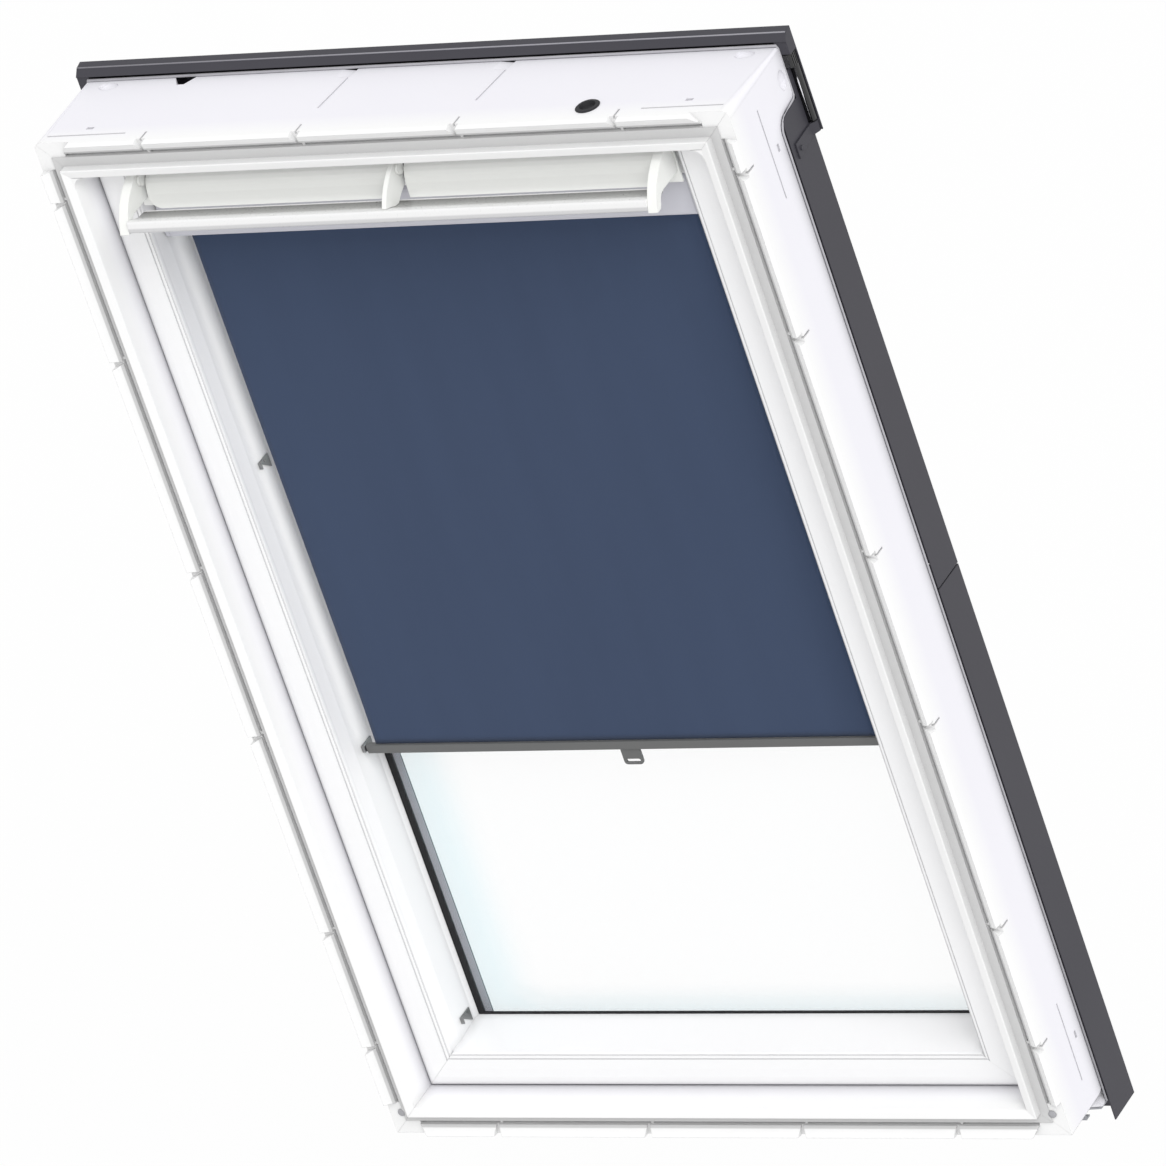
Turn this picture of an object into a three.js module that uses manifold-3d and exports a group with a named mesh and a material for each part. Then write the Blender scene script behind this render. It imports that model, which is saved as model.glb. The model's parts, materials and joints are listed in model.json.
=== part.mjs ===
// A centre-pivot roof window with its roller blind fitted in the sash.
// Units are millimetres. X runs across the window, Z up the slope, Y out through the roof.
// Depths are measured outward from the room face of the frame's rim, and the finished model
// is moved so that its origin lies in the middle of the sill's flat underside.

import * as THREE from 'three';
import { mergeVertices } from 'three/addons/utils/BufferGeometryUtils.js';
import Module from 'manifold-3d';

const wasm = await Module();
wasm.setup();

function mix(from, to, share) {
  return from + (to - from) * share;
}

// Clearances and overruns
const SEAT = 0.2;
const MITRE = 0.05;
const CUT = 6;
const SHEET = 1.2;

// Frame
const FRAME = {
  width: 780,
  height: 1178,
  depth: 93.3,
  headDepth: 127.5,
  edge: 3,
  floor: 11.5,
  lipWidth: 12,
  groove: 4,
  grooveDepth: 4,
  rebate: 10,
  rimOut: 26.5,
  rimIn: 36,
  rimBevel: 2.6,
  rimRound: 1.2,
  wall: 42,
  wallStart: 36,
  sillFall: 10,
  jogBelow: 62,
  jogRise: 4,
  jogRound: 12,
  softWide: 16,
  softDeep: 4,
  cornerRound: 8,
  cornerTaper: 0.2,
  rimFillet: 12,
  rimFilletBack: 29,
  seatDepth: 36,
};
const HALF = FRAME.width / 2;
const OUTER = { half: HALF, bottom: 0, top: FRAME.height };
const OPENING = { half: HALF - FRAME.wall, bottom: FRAME.wall, top: FRAME.height - FRAME.wall };
const JOG = FRAME.height - FRAME.jogBelow;

// Underside of the sill, with the step that its seal strip sits in
const UNDER = { step: 46, rise: 0.6, start: 58, heel: 80, heelDrop: 14, back: 97, backDrop: 14.8 };

// Segmented lip round the lining rebate, its notches at shares of the frame's size
const LIP = {
  front: 2.5, crown: 1.5, inner: 9.8, endTaper: 9, blunt: 2, notchTaper: 4, notchGap: 2.2,
  slit: 25, slitDeep: 3,
  cornerClear: 32, headClear: 30, sillClear: 38, web: 3,
};
const NOTCH = {
  acrossShares: [-0.682, -0.228, 0.228, 0.682],
  upShares: [0.0908, 0.2105, 0.4118, 0.5781, 0.7869, 0.9423],
};
const LIP_ACROSS = {
  reach: HALF - LIP.cornerClear,
  notches: NOTCH.acrossShares.map((share) => share * HALF),
};
const LIP_UP = {
  low: LIP.sillClear,
  high: FRAME.height - LIP.headClear,
  notches: NOTCH.upShares.map((share) => share * FRAME.height),
};

// Marks moulded in the frame's outer faces, placed from its corners
const MARK = { wide: 1.8, deep: 1.4, lineLong: 90, lineEnd: 10, headLine: 24, headDash: 36.5, dashIn: 53 };
const SIDE_MARK = {
  line: 60, topFar: 126, topNear: 29, lowNear: 32, lowFar: 124, dash: 74.5, dashBelow: 79, dashUp: 77,
};
const DASH = { long: 8, wide: 4, deep: 2 };
const DIMPLE = { long: 11, short: 7, deep: 5, headIn: 31, headBack: 117, sideBack: 117, sideBelow: 30 };
const STEP_LINE = {
  shares: [-0.222, 0.234], slant: 7.5, front: 55, wide: 2, pocket: 15, pocketFront: 112, pocketDeep: 2.2,
};
const CABLE_NOTCH = { share: -0.703, outer: 12, inner: 4, run: 13.5, deep: 8 };
const GROMMET = {
  share: 0.583, back: 32.3, flange: 12.5, body: 10, dimple: 7, height: 1.4, long: 14, sink: 2.5,
};
const CORNER_HOLE = { inset: 13.8, up: 25.4, radius: 4.2, deep: 1.2 };

// Sash
const SASH = {
  gap: 3,
  back: 119,
  wall: 40.5,
  wallFront: 50,
  wallBack: 86,
  daylight: 43,
  headWall: 39.5,
  sillWall: 39.7,
  sillDaylight: 45.4,
  cornerIn: 37.7,
  cornerDepth: 36,
  sideFront: 34,
  crown: 29.6,
  crownEnd: 31,
  grooveWide: 1.3,
  grooveDeep: 1.1,
  strip: 2.6,
  glassSeat: 92.4,
  rebateSide: 21,
  rebateSill: 16.5,
  headFront: 44,
};
const INSET = FRAME.wall + SASH.gap;
const SASH_RECT = { half: HALF - INSET, bottom: INSET, top: FRAME.height - INSET };
const WALL_HALF = SASH_RECT.half - SASH.wall;
const HEAD_UNDER = SASH_RECT.top - SASH.headWall;
const SILL_OVER = SASH_RECT.bottom + SASH.sillWall;
const DAYLIGHT = {
  half: SASH_RECT.half - SASH.daylight,
  bottom: SASH_RECT.bottom + SASH.sillDaylight,
  top: HEAD_UNDER,
};

// Glass
const PANE = 4;
const GASKET = { depth: 2.4, reach: 2, sideReach: 7 };
const SPACER = { depth: 16, wide: 5.5, behind: 3, edge: 4 };
const PANE_IN = SASH.glassSeat + GASKET.depth + SEAT;
const PANE_OUT = PANE_IN + PANE + SPACER.depth;
const GLASS = {
  half: SASH_RECT.half - SASH.rebateSide - SEAT * 2,
  bottom: SASH_RECT.bottom + SASH.rebateSill + SEAT * 2,
  top: SASH_RECT.top - SASH.rebateSide - SEAT * 2,
};

// Weather seal between frame and sash
const SEAL = { front: 37, back: 40, thick: 2.2 };

// Outer claddings
const COVER = {
  out: 139.5,
  over: 1.8,
  front: 92.5,
  drop: 40,
  lipHeight: 10,
  lipFront: 118,
  glassLap: 27,
  lean: 10,
  sillLean: 14,
  foot: 14,
  sashTop: 124,
  seam: 1.6,
  webIn: 42.3,
  webUp: 43,
  topBelow: 92,
  jogLap: 2,
  earTop: 25.6,
  earDeep: 6,
};
const COVER_SIDE = HALF + COVER.over;
const COVER_TOP = FRAME.height - COVER.topBelow;
const HOOD = {
  over: 10.5, lowBelow: 99, edgeSink: 0.2, edgeUp: 5.6, foldPast: 6.5, foldUp: 13, rise: 15, outPast: 15,
  cheekBelow: 9, cheek: 14,
};
const HOOD_OUT = FRAME.headDepth + HOOD.outPast;
const HOOD_END = {
  topBelow: 10, partBelow: 24, lowBelow: 86, frontPast: 1.2, stripPast: 7.1, clear: 1.2, block: 12.4, round: 4,
  rib: 1.2, ribs: 3,
};
const STRAP = {
  lowBelow: 106.5, lowRise: 7.5, highBelow: 90.5, highRise: 2.5, front: 99.7, flare: 8.4, thick: 1.6,
  screw: 2.6, screwInset: 7, screwUp: 8,
};
const SILL_SEAL = { front: 47, thick: 1.6, hook: 7.3, hookReach: 8 };

// Pivot hinges, on the line where the side claddings meet
const PIVOT = { up: FRAME.height / 2, out: COVER.out, pin: 3.5, play: 0.3, eye: 7, web: 12 };
const LEAF = { thick: 2, from: 62, to: 118, half: 45, gap: 0.3 };
const BRACKET = { clear: 2, thick: 3, foot: 32, footThick: 2.6, half: 38, pinOver: 2.5 };
const SEAM_NOTCH = { overLeaf: 1.5, overPin: 2, half: 9.5 };

// Control bar, its arms and the ventilation flap, placed below the top of the sash
const BAR = { clear: 12.8, front: -23.4, back: 13, lowBelow: 42, deep: 13.9, sag: 7.9, edge: 3 };
const ARM = {
  pivotDepth: 22, pivotBelow: 7, hub: 8.6, thick: 10.4, midThick: 5, hole: 2.5, pin: 2.2,
  tail: 31.2, tailRound: 3, toe: 13, blind: 2.6,
};
const LUG = { thick: 3, half: 6, gap: 0.3, over: 5.4, bridge: 2 };
const RAIL = { thick: 1.8, low: 0.5, wingFront: 31.8, wingBack: 34, wingSide: 0.9, wingLow: 0.5, wingTop: 4 };
const FLAP = {
  side: 17.1, thick: 2.2, hingeDepth: 39.4, hingeBelow: 5, bead: 2.2, front: 19.4, lowBelow: 38.8,
  notch: 7, strip: 36.5, round: 13,
};
const FILTER = { side: 32.5, deep: 8, lowBelow: 33, highBelow: 9 };

// Latch in the sash head
const LATCH = {
  half: 38, front: 58, back: 84, lowBelow: 21, wall: 1.6, hub: 5, nose: 14, pin: 2.2, thick: 10,
  pivotBelow: 13,
};
const STRIKER = { half: 30, front: 56, back: 86, thick: 1.5 };

// Blind. The hooks stand at shares of the sash's clear height.
const BLIND = { plane: 64, side: 17.9, cloth: 0.9, barSide: 7.5, barLift: 0.5, barHigh: 10, barDeep: 7 };
const CASING = {
  side: 7.1, front: 46, back: 89.4, clear: 1.5, high: 47.5, wall: 1.4, lipEnd: 60, slot: 8, round: 7,
};
const CASING_HALF = WALL_HALF - CASING.side;
const CASING_TOP = HEAD_UNDER - CASING.clear;
const CAP = { thick: 5 };
const ROLLER = { depth: 76, below: 26, radius: 9.4, wall: 1.2, roll: 11.3, endClear: 0.8 };
const SPRING = { radius: 7.4, long: 170, pin: 3 };
const END_PIN = { radius: 2.2, collar: 3.4, collarLong: 2.6, drop: 0.5 };
const HOOK = {
  shares: { high: 0.67965, middle: 0.3462, low: 0.0181 },
  lip: 4, thick: 1, crestUp: 3.6, lipUp: 3.6, lipBack: 1.2, back: 18, tail: 11.9, lipTail: 3.4,
};
const HOOK_SCREW = { radius: 1.7, high: 0.9, behind: 9.3, drop: 0.4 };
const TAB = { at: 5, half: 10.8, high: 18, thick: 3, slotHalf: 8.4, slotHigh: 4.6, rim: 2, round: 4 };

// Heights and half widths that several pieces share
const restUp = (share) => mix(SILL_OVER, HEAD_UNDER, share);
const BAR_HALF = WALL_HALF - BAR.clear;
const BAR_LOW = SASH_RECT.top - BAR.lowBelow;
const BAR_HIGH = BAR_LOW + BAR.deep;
const BAR_DIP = BAR_HIGH - BAR.sag;
const ARM_UP = SASH_RECT.top - ARM.pivotBelow;
const ROLLER_UP = CASING_TOP - ROLLER.below;
const HEM_UP = restUp(HOOK.shares.middle) + BLIND.barLift;
const HEM_TOP = HEM_UP + BLIND.barHigh / 2;
const HEM_LOW = HEM_UP - BLIND.barHigh / 2;

// Finishes: colour, roughness, metalness
const FINISH = {
  white: ['#f6f6f8', 0.42, 0],
  sashWhite: ['#f3f3f5', 0.38, 0],
  cream: ['#e4e4dc', 0.45, 0],
  cladding: ['#55545a', 0.45, 0.4],
  black: ['#15151a', 0.18, 0],
  rubber: ['#33363a', 0.75, 0],
  greyRubber: ['#85868b', 0.7, 0],
  glass: ['#dff1f4', 0.04, 0],
  spacer: ['#a9a8ae', 0.35, 0.8],
  steel: ['#9a9a98', 0.35, 0.9],
  lacquer: ['#ececec', 0.3, 0.2],
  casing: ['#b4b6c6', 0.4, 0.3],
  fabric: ['#434f68', 0.9, 0],
  hemBar: ['#646462', 0.45, 0.5],
  foam: ['#6d6f70', 0.95, 0],
};

const ROUND = 20;
const CURVE = 4;

// Makes a closed solid from a geometry whose vertices are moved by place(x, y, z)
function solidOf(geometry, place) {
  const bare = geometry.index ? geometry.toNonIndexed() : geometry.clone();
  bare.deleteAttribute('normal');
  bare.deleteAttribute('uv');
  const merged = mergeVertices(bare);
  const points = merged.attributes.position;
  const corners = [new THREE.Vector3(), new THREE.Vector3(), new THREE.Vector3()];
  if (place) {
    for (let i = 0; i < points.count; i += 1) {
      points.setXYZ(i, ...place(points.getX(i), points.getY(i), points.getZ(i)));
    }
  }
  const index = Uint32Array.from(merged.index.array);
  let volume = 0;
  for (let i = 0; i < index.length; i += 3) {
    corners.forEach((corner, k) => corner.fromBufferAttribute(points, index[i + k]));
    volume += corners[0].dot(corners[1].clone().cross(corners[2]));
  }
  if (volume < 0) {
    for (let i = 0; i < index.length; i += 3) {
      [index[i + 1], index[i + 2]] = [index[i + 2], index[i + 1]];
    }
  }
  const vertProperties = Float32Array.from(points.array);
  return new wasm.Manifold(new wasm.Mesh({ numProp: 3, vertProperties, triVerts: index }));
}

function geometryOf(solid) {
  const mesh = solid.getMesh();
  const geometry = new THREE.BufferGeometry();
  geometry.setAttribute('position', new THREE.BufferAttribute(Float32Array.from(mesh.vertProperties), 3));
  geometry.setIndex(new THREE.BufferAttribute(Uint32Array.from(mesh.triVerts), 1));
  geometry.computeVertexNormals();
  return geometry;
}

const joined = (solids) => solids.reduce((whole, solid) => whole.add(solid));
const cutBy = (solid, tools) => tools.reduce((rest, tool) => rest.subtract(tool), solid);

// A closed outline of corners [a, b, fillet]
function outline(corners) {
  const shape = new THREE.Shape();
  corners.forEach(([a, b, fillet = 0], i) => {
    const here = new THREE.Vector2(a, b);
    const last = new THREE.Vector2().fromArray(corners[(i + corners.length - 1) % corners.length]);
    const next = new THREE.Vector2().fromArray(corners[(i + 1) % corners.length]);
    const before = here.distanceTo(last);
    const after = here.distanceTo(next);
    const start = here.clone().lerp(last, Math.min(fillet / before, 1 / 2));
    const end = here.clone().lerp(next, Math.min(fillet / after, 1 / 2));
    if (i === 0) shape.moveTo(start.x, start.y);
    else shape.lineTo(start.x, start.y);
    if (fillet > 0) shape.quadraticCurveTo(here.x, here.y, end.x, end.y);
  });
  shape.closePath();
  return shape;
}

const block = (a0, a1, b0, b1) => outline([[a0, b0], [a1, b0], [a1, b1], [a0, b1]]);
const disc = (a, b, radius) => new THREE.Shape().absarc(a, b, radius, 0, Math.PI * 2, false);

function extruded(shape, place, curve = CURVE) {
  const settings = { depth: 1, steps: 1, bevelEnabled: false, curveSegments: curve };
  return solidOf(new THREE.ExtrudeGeometry(shape, settings), place);
}

// Extrusions of an outline drawn in the other two axes
const alongX = (shape, from, to, curve) => extruded(shape, (a, b, t) => [mix(from, to, t), a, b], curve);
const alongY = (shape, from, to, curve) => extruded(shape, (a, b, t) => [a, mix(from, to, t), b], curve);
const alongZ = (shape, from, to, curve) => extruded(shape, (a, b, t) => [a, b, mix(from, to, t)], curve);
const brick = (x0, x1, y0, y1, z0, z1) => alongX(block(y0, y1, z0, z1), x0, x1);
const rodX = (y, z, radius, from, to, curve = ROUND) => alongX(disc(y, z, radius), from, to, curve);

// A member of a rectangular ring. Its section is drawn as (inward from the ring's edge, depth),
// and its ends are mitred, or square where a trim is given.
function ringMember(section, side, ring, trim = {}) {
  const cut = MITRE / 2 * Math.SQRT2;
  const low = (inward) => trim.low ?? ring.bottom + Math.max(inward, 0) + cut;
  const high = (inward) => trim.high ?? ring.top - Math.max(inward, 0) - cut;
  const reach = (inward) => trim.half ?? ring.half - Math.max(inward, 0) - cut;
  const places = {
    left: (inward, depth, t) => [inward - ring.half, depth, mix(low(inward), high(inward), t)],
    right: (inward, depth, t) => [ring.half - inward, depth, mix(low(inward), high(inward), t)],
    head: (inward, depth, t) => [mix(-reach(inward), reach(inward), t), depth, ring.top - inward],
    sill: (inward, depth, t) => [mix(-reach(inward), reach(inward), t), depth, ring.bottom + inward],
  };
  return extruded(section, places[side]);
}

const inset = ({ half, bottom, top }, by) => ({ half: half - by, bottom: bottom + by, top: top - by });

// A rectangular ring in one piece, between an outer and an inner rectangle
function ring(outer, inner, front, back) {
  const plate = brick(-outer.half, outer.half, front, back, outer.bottom, outer.top);
  return plate.subtract(brick(-inner.half, inner.half, front - CUT, back + CUT, inner.bottom, inner.top));
}

// Every sub-part is one named mesh with a material of its own
const roofWindow = new THREE.Group();
roofWindow.position.y = -FRAME.seatDepth;

function part(name, solid, finish) {
  const [color, roughness, metalness] = FINISH[finish];
  const seeThrough = finish === 'glass' ? { transparent: true, opacity: 0.35 } : {};
  const material = new THREE.MeshStandardMaterial({ color, roughness, metalness, ...seeThrough });
  const mesh = new THREE.Mesh(geometryOf(solid), material);
  mesh.name = name;
  roofWindow.add(mesh);
}

// Frame members

function frameSection(depth, wallBack, underside) {
  const { floor, lipWidth, groove, grooveDepth, rebate, rimOut, rimIn, rimBevel, rimRound, wall } = FRAME;
  return outline([
    [0, floor],
    [lipWidth, floor],
    [lipWidth, floor + grooveDepth],
    [lipWidth + groove, floor + grooveDepth],
    [lipWidth + groove, rebate],
    [rimOut, rebate],
    [rimOut, 0, rimRound],
    [rimIn, rimBevel, rimRound],
    [wall, FRAME.wallStart],
    [wallBack, depth],
    ...underside,
  ]);
}

function slitCuts(side) {
  const half = LIP.notchGap / 2;
  const deep = LIP.slitDeep;
  if (side === 'head') {
    return LIP_ACROSS.notches.map((x) =>
      brick(x - half, x + half, FRAME.floor - CUT, LIP.slit, FRAME.height - deep, FRAME.height + CUT));
  }
  if (side === 'sill') {
    return LIP_ACROSS.notches.map((x) => brick(x - half, x + half, FRAME.floor - CUT, LIP.slit, -CUT, deep));
  }
  const [from, to] = side === 'left' ? [-HALF - CUT, -HALF + deep] : [HALF - deep, HALF + CUT];
  return LIP_UP.notches.map((z) => brick(from, to, FRAME.floor - CUT, LIP.slit, z - half, z + half));
}

// A scoop shaped like part of an egg, sunk in an outer face by its depth
const scoop = (place) => solidOf(new THREE.SphereGeometry(1, CURVE * 3, CURVE * 2), place);

function headMarks() {
  const top = FRAME.height;
  const half = MARK.wide / 2;
  const tools = [];
  for (const side of [-1, 1]) {
    const from = side * (HALF - MARK.lineLong - MARK.lineEnd);
    const to = side * (HALF - MARK.lineEnd);
    tools.push(brick(Math.min(from, to), Math.max(from, to), MARK.headLine - half, MARK.headLine + half,
      top - MARK.deep, top + CUT));
    const dash = side * (HALF - MARK.dashIn);
    tools.push(brick(dash - DASH.long / 2, dash + DASH.long / 2, MARK.headDash - DASH.wide / 2,
      MARK.headDash + DASH.wide / 2, top - DASH.deep, top + CUT));
    tools.push(scoop((x, y, z) => [side * (HALF - DIMPLE.headIn) + x * DIMPLE.long,
      DIMPLE.headBack + y * DIMPLE.short, top + z * DIMPLE.deep]));
  }
  const { shares, slant, front, wide, pocket, pocketFront, pocketDeep } = STEP_LINE;
  const back = FRAME.headDepth + CUT;
  for (const share of shares) {
    const x = share * HALF;
    const line = outline([[x, front], [x + wide, front], [x + slant + wide, back], [x + slant, back]]);
    tools.push(alongZ(line, top - MARK.deep, top + CUT));
    const edge = x + slant * (pocketFront - front) / (back - front);
    const ramp = outline([[edge - pocket, top], [edge + wide, top - pocketDeep], [edge + wide, top + CUT],
      [edge - pocket, top + CUT]]);
    tools.push(extruded(ramp, (a, b, t) => [a + slant * t / 2, mix(pocketFront, back, t), b]));
  }
  const at = CABLE_NOTCH.share * HALF;
  const { outer, inner, run, deep } = CABLE_NOTCH;
  const edge = FRAME.headDepth;
  const notch = outline([[at - outer, edge + CUT], [at - outer, edge], [at - inner, edge - run],
    [at + inner, edge - run], [at + outer, edge], [at + outer, edge + CUT]]);
  tools.push(alongZ(notch, top - deep, top + CUT));
  const hole = disc(GROMMET.share * HALF, GROMMET.back, GROMMET.body + SEAT);
  tools.push(alongZ(hole, top - GROMMET.long - SEAT, top + CUT, ROUND));
  return tools;
}

function sideMarks(side) {
  const face = side * HALF;
  const skin = (deep) => [face - side * deep, face + side * CUT].sort((a, b) => a - b);
  const half = MARK.wide / 2;
  const top = FRAME.height;
  const spans = [[top - SIDE_MARK.topFar, top - SIDE_MARK.topNear], [SIDE_MARK.lowNear, SIDE_MARK.lowFar]];
  const tools = spans.map(([low, high]) =>
    brick(...skin(MARK.deep), SIDE_MARK.line - half, SIDE_MARK.line + half, low, high));
  for (const z of [top - SIDE_MARK.dashBelow, SIDE_MARK.dashUp]) {
    tools.push(brick(...skin(DASH.deep), SIDE_MARK.dash - DASH.wide / 2, SIDE_MARK.dash + DASH.wide / 2,
      z - DASH.long / 2, z + DASH.long / 2));
  }
  tools.push(scoop((x, y, z) => [face + x * DIMPLE.deep, DIMPLE.sideBack + y * DIMPLE.short,
    top - DIMPLE.sideBelow + z * DIMPLE.long]));
  return tools;
}

// Cuts the deep side member back to its own depth below the shoulder at the head
function shoulderCut(side) {
  const far = FRAME.headDepth + CUT;
  const space = outline([
    [FRAME.depth, -CUT],
    [FRAME.depth, JOG, FRAME.jogRound],
    [far, JOG + FRAME.jogRise],
    [far, -CUT],
  ]);
  const from = side * (OPENING.half - CUT);
  return alongX(space, from, side * (HALF + CUT), CURVE);
}

// The outer face rolls over softly at its back edge, up the side, round the bend and along the shoulder
// The roll is drawn as (depth into the face, distance from the edge).
function softEdges(side) {
  const { depth, headDepth, softWide, softDeep, jogRound, jogRise } = FRAME;
  const roll = new THREE.Shape();
  roll.moveTo(-CUT, softWide);
  roll.lineTo(0, softWide);
  roll.absellipse(softDeep, softWide, softDeep, softWide, Math.PI, Math.PI * 3 / 2, false);
  roll.lineTo(softDeep, -CUT);
  roll.lineTo(-CUT, -CUT);
  roll.closePath();
  const face = (deep) => side * (HALF - deep);
  const far = headDepth + CUT;
  const bend = { out: depth + jogRound, up: JOG - jogRound };
  const rise = (y) => jogRise * (y - depth) / (far - depth);
  const arc = Array.from({ length: CURVE }, (_, k) => {
    const turn = Math.PI * (1 + k / CURVE / 2);
    return [jogRound + softWide * (1 + Math.sin(turn)), softDeep * (1 + Math.cos(turn))];
  });
  const profile = [[0, -CUT], [jogRound + softWide, -CUT], ...arc, [jogRound, softDeep], [0, softDeep]];
  const lathe = new THREE.LatheGeometry(profile.map(([r, h]) => new THREE.Vector2(r, h)), ROUND);
  return [
    extruded(roll, (a, b, t) => [face(a), depth - b, mix(-UNDER.backDrop - CUT, bend.up, t)]),
    extruded(roll, (a, b, t) => {
      const y = mix(bend.out, far, t);
      return [face(a), y, JOG + rise(y) + b];
    }),
    solidOf(lathe, (x, y, z) => [face(y), bend.out + x, bend.up + z]),
  ];
}

// Rounds the upright outer corner between the head and a side member
function cornerCut(side) {
  const { cornerRound: round, cornerTaper, headDepth, height } = FRAME;
  const waste = new THREE.Shape();
  waste.moveTo(-CUT, -CUT);
  waste.lineTo(round, -CUT);
  waste.lineTo(round, 0);
  waste.absarc(round, round, round, Math.PI * 3 / 2, Math.PI, true);
  waste.lineTo(-CUT, round);
  waste.closePath();
  return extruded(waste, (a, b, t) => {
    const grow = mix(1, cornerTaper, t);
    return [side * (HALF - a * grow), mix(-CUT, headDepth + CUT, t), height - b * grow];
  }, CURVE * 2);
}

// Fills the rim's inner corner at the head with a small curve, down to the depth where the sash starts
function rimFillet(side) {
  const { rimFillet: round, rimFilletBack, rimIn, rimBevel, wall, wallStart, height } = FRAME;
  const fill = new THREE.Shape();
  fill.moveTo(-SHEET, MITRE);
  fill.lineTo(round, MITRE);
  fill.absarc(round, round, round - MITRE, Math.PI * 3 / 2, Math.PI, true);
  fill.lineTo(-SHEET, round);
  fill.closePath();
  return extruded(fill, (a, b, t) => {
    const y = mix(rimBevel, rimFilletBack, t);
    const base = mix(rimIn, wall, (y - rimBevel) / (wallStart - rimBevel));
    return [side * (HALF - base - a), y, height - base - b];
  }, CURVE * 2);
}

function plugHole(side) {
  const { inset, up, radius, deep } = CORNER_HOLE;
  return alongY(disc(side * (HALF - inset), up, radius), FRAME.floor - CUT, FRAME.floor + deep, CURVE * 2);
}

// Wedge lips moulded on the front of each member, parted by notches

const LIP_SECTION = outline([
  [0, FRAME.floor - FRAME.edge],
  [LIP.crown, LIP.front],
  [FRAME.lipWidth, LIP.inner],
  [FRAME.lipWidth, FRAME.floor + SEAT],
  [FRAME.edge, FRAME.floor + SEAT],
  [0, FRAME.floor],
]);

const WEB_SECTION = block(FRAME.lipWidth - SHEET, FRAME.lipWidth + FRAME.groove + SEAT, FRAME.floor + SHEET,
  FRAME.floor + FRAME.grooveDepth + SEAT);

function lipPiece(section, side, from, to, taperFrom = 0, taperTo = 0) {
  const along = (inward, t) => {
    const lean = 1 - inward / FRAME.lipWidth;
    return mix(from + taperFrom * lean, to - taperTo * lean, t);
  };
  const places = {
    left: (inward, depth, t) => [inward - HALF, depth, along(inward, t)],
    right: (inward, depth, t) => [HALF - inward, depth, along(inward, t)],
    head: (inward, depth, t) => [along(inward, t), depth, FRAME.height - inward],
    sill: (inward, depth, t) => [along(inward, t), depth, inward],
  };
  return extruded(section, places[side]);
}

function lipsOf(side) {
  const across = side === 'head' || side === 'sill';
  const stops = across
    ? [-LIP_ACROSS.reach, ...LIP_ACROSS.notches, LIP_ACROSS.reach]
    : [LIP_UP.low, ...LIP_UP.notches, LIP_UP.high];
  const last = stops.length - 2;
  const end = across ? LIP.endTaper : LIP.blunt;
  const lips = stops.slice(0, -1).map((stop, i) => lipPiece(
    LIP_SECTION,
    side,
    stop + (i === 0 ? 0 : LIP.notchGap / 2),
    stops[i + 1] - (i === last ? 0 : LIP.notchGap / 2),
    i === 0 ? end : LIP.notchTaper,
    i === last ? end : LIP.notchTaper,
  ));
  const webs = stops.slice(1, -1).map((stop) =>
    lipPiece(WEB_SECTION, side, stop + LIP.notchGap, stop + LIP.notchGap + LIP.web));
  return [...lips, ...webs];
}

// The groove beside the lips is filled round the frame's corners, past the lips' ends
function cornerFill(side) {
  const { lipWidth, groove, floor, grooveDepth } = FRAME;
  const section = block(lipWidth - SHEET, lipWidth + groove + SEAT, floor, floor + grooveDepth + SEAT);
  const fill = ringMember(section, side, OUTER);
  const [front, back] = [floor - CUT, floor + grooveDepth + CUT];
  const middle = side === 'head' || side === 'sill'
    ? brick(-LIP_ACROSS.reach, LIP_ACROSS.reach, front, back, -CUT, FRAME.height + CUT)
    : brick(-HALF - CUT, HALF + CUT, front, back, LIP_UP.low, LIP_UP.high);
  return fill.subtract(middle);
}

function makeFrame() {
  const { wall, depth, headDepth, sillFall } = FRAME;
  const topMember = ringMember(frameSection(headDepth, wall, [[0, headDepth]]), 'head', OUTER);
  const head = joined([topMember, ...lipsOf('head'), cornerFill('head')]);
  part('frame_head', cutBy(head, [...slitCuts('head'), ...headMarks(), cornerCut(-1), cornerCut(1)]), 'white');

  const underside = [
    [-UNDER.backDrop, UNDER.back],
    [-UNDER.heelDrop, UNDER.heel],
    [UNDER.rise, UNDER.start],
    [UNDER.rise, UNDER.step],
    [0, UNDER.step],
  ];
  const lowMember = ringMember(frameSection(depth, wall - sillFall, underside), 'sill', OUTER);
  const sill = joined([lowMember, ...lipsOf('sill'), cornerFill('sill')]);
  part('frame_sill', cutBy(sill, [...slitCuts('sill'), ...softEdges(-1), ...softEdges(1)]), 'white');

  for (const [name, side] of [['left', -1], ['right', 1]]) {
    const member = ringMember(frameSection(headDepth, wall, [[0, headDepth]]), name, OUTER);
    const jamb = joined([member, ...lipsOf(name), cornerFill(name), rimFillet(side)]);
    const tools = [
      shoulderCut(side), cornerCut(side), plugHole(side),
      ...softEdges(side), ...slitCuts(name), ...sideMarks(side),
    ];
    part(`frame_jamb_${name}`, cutBy(jamb, tools), 'white');
  }
}

// Small frame fittings

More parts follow.
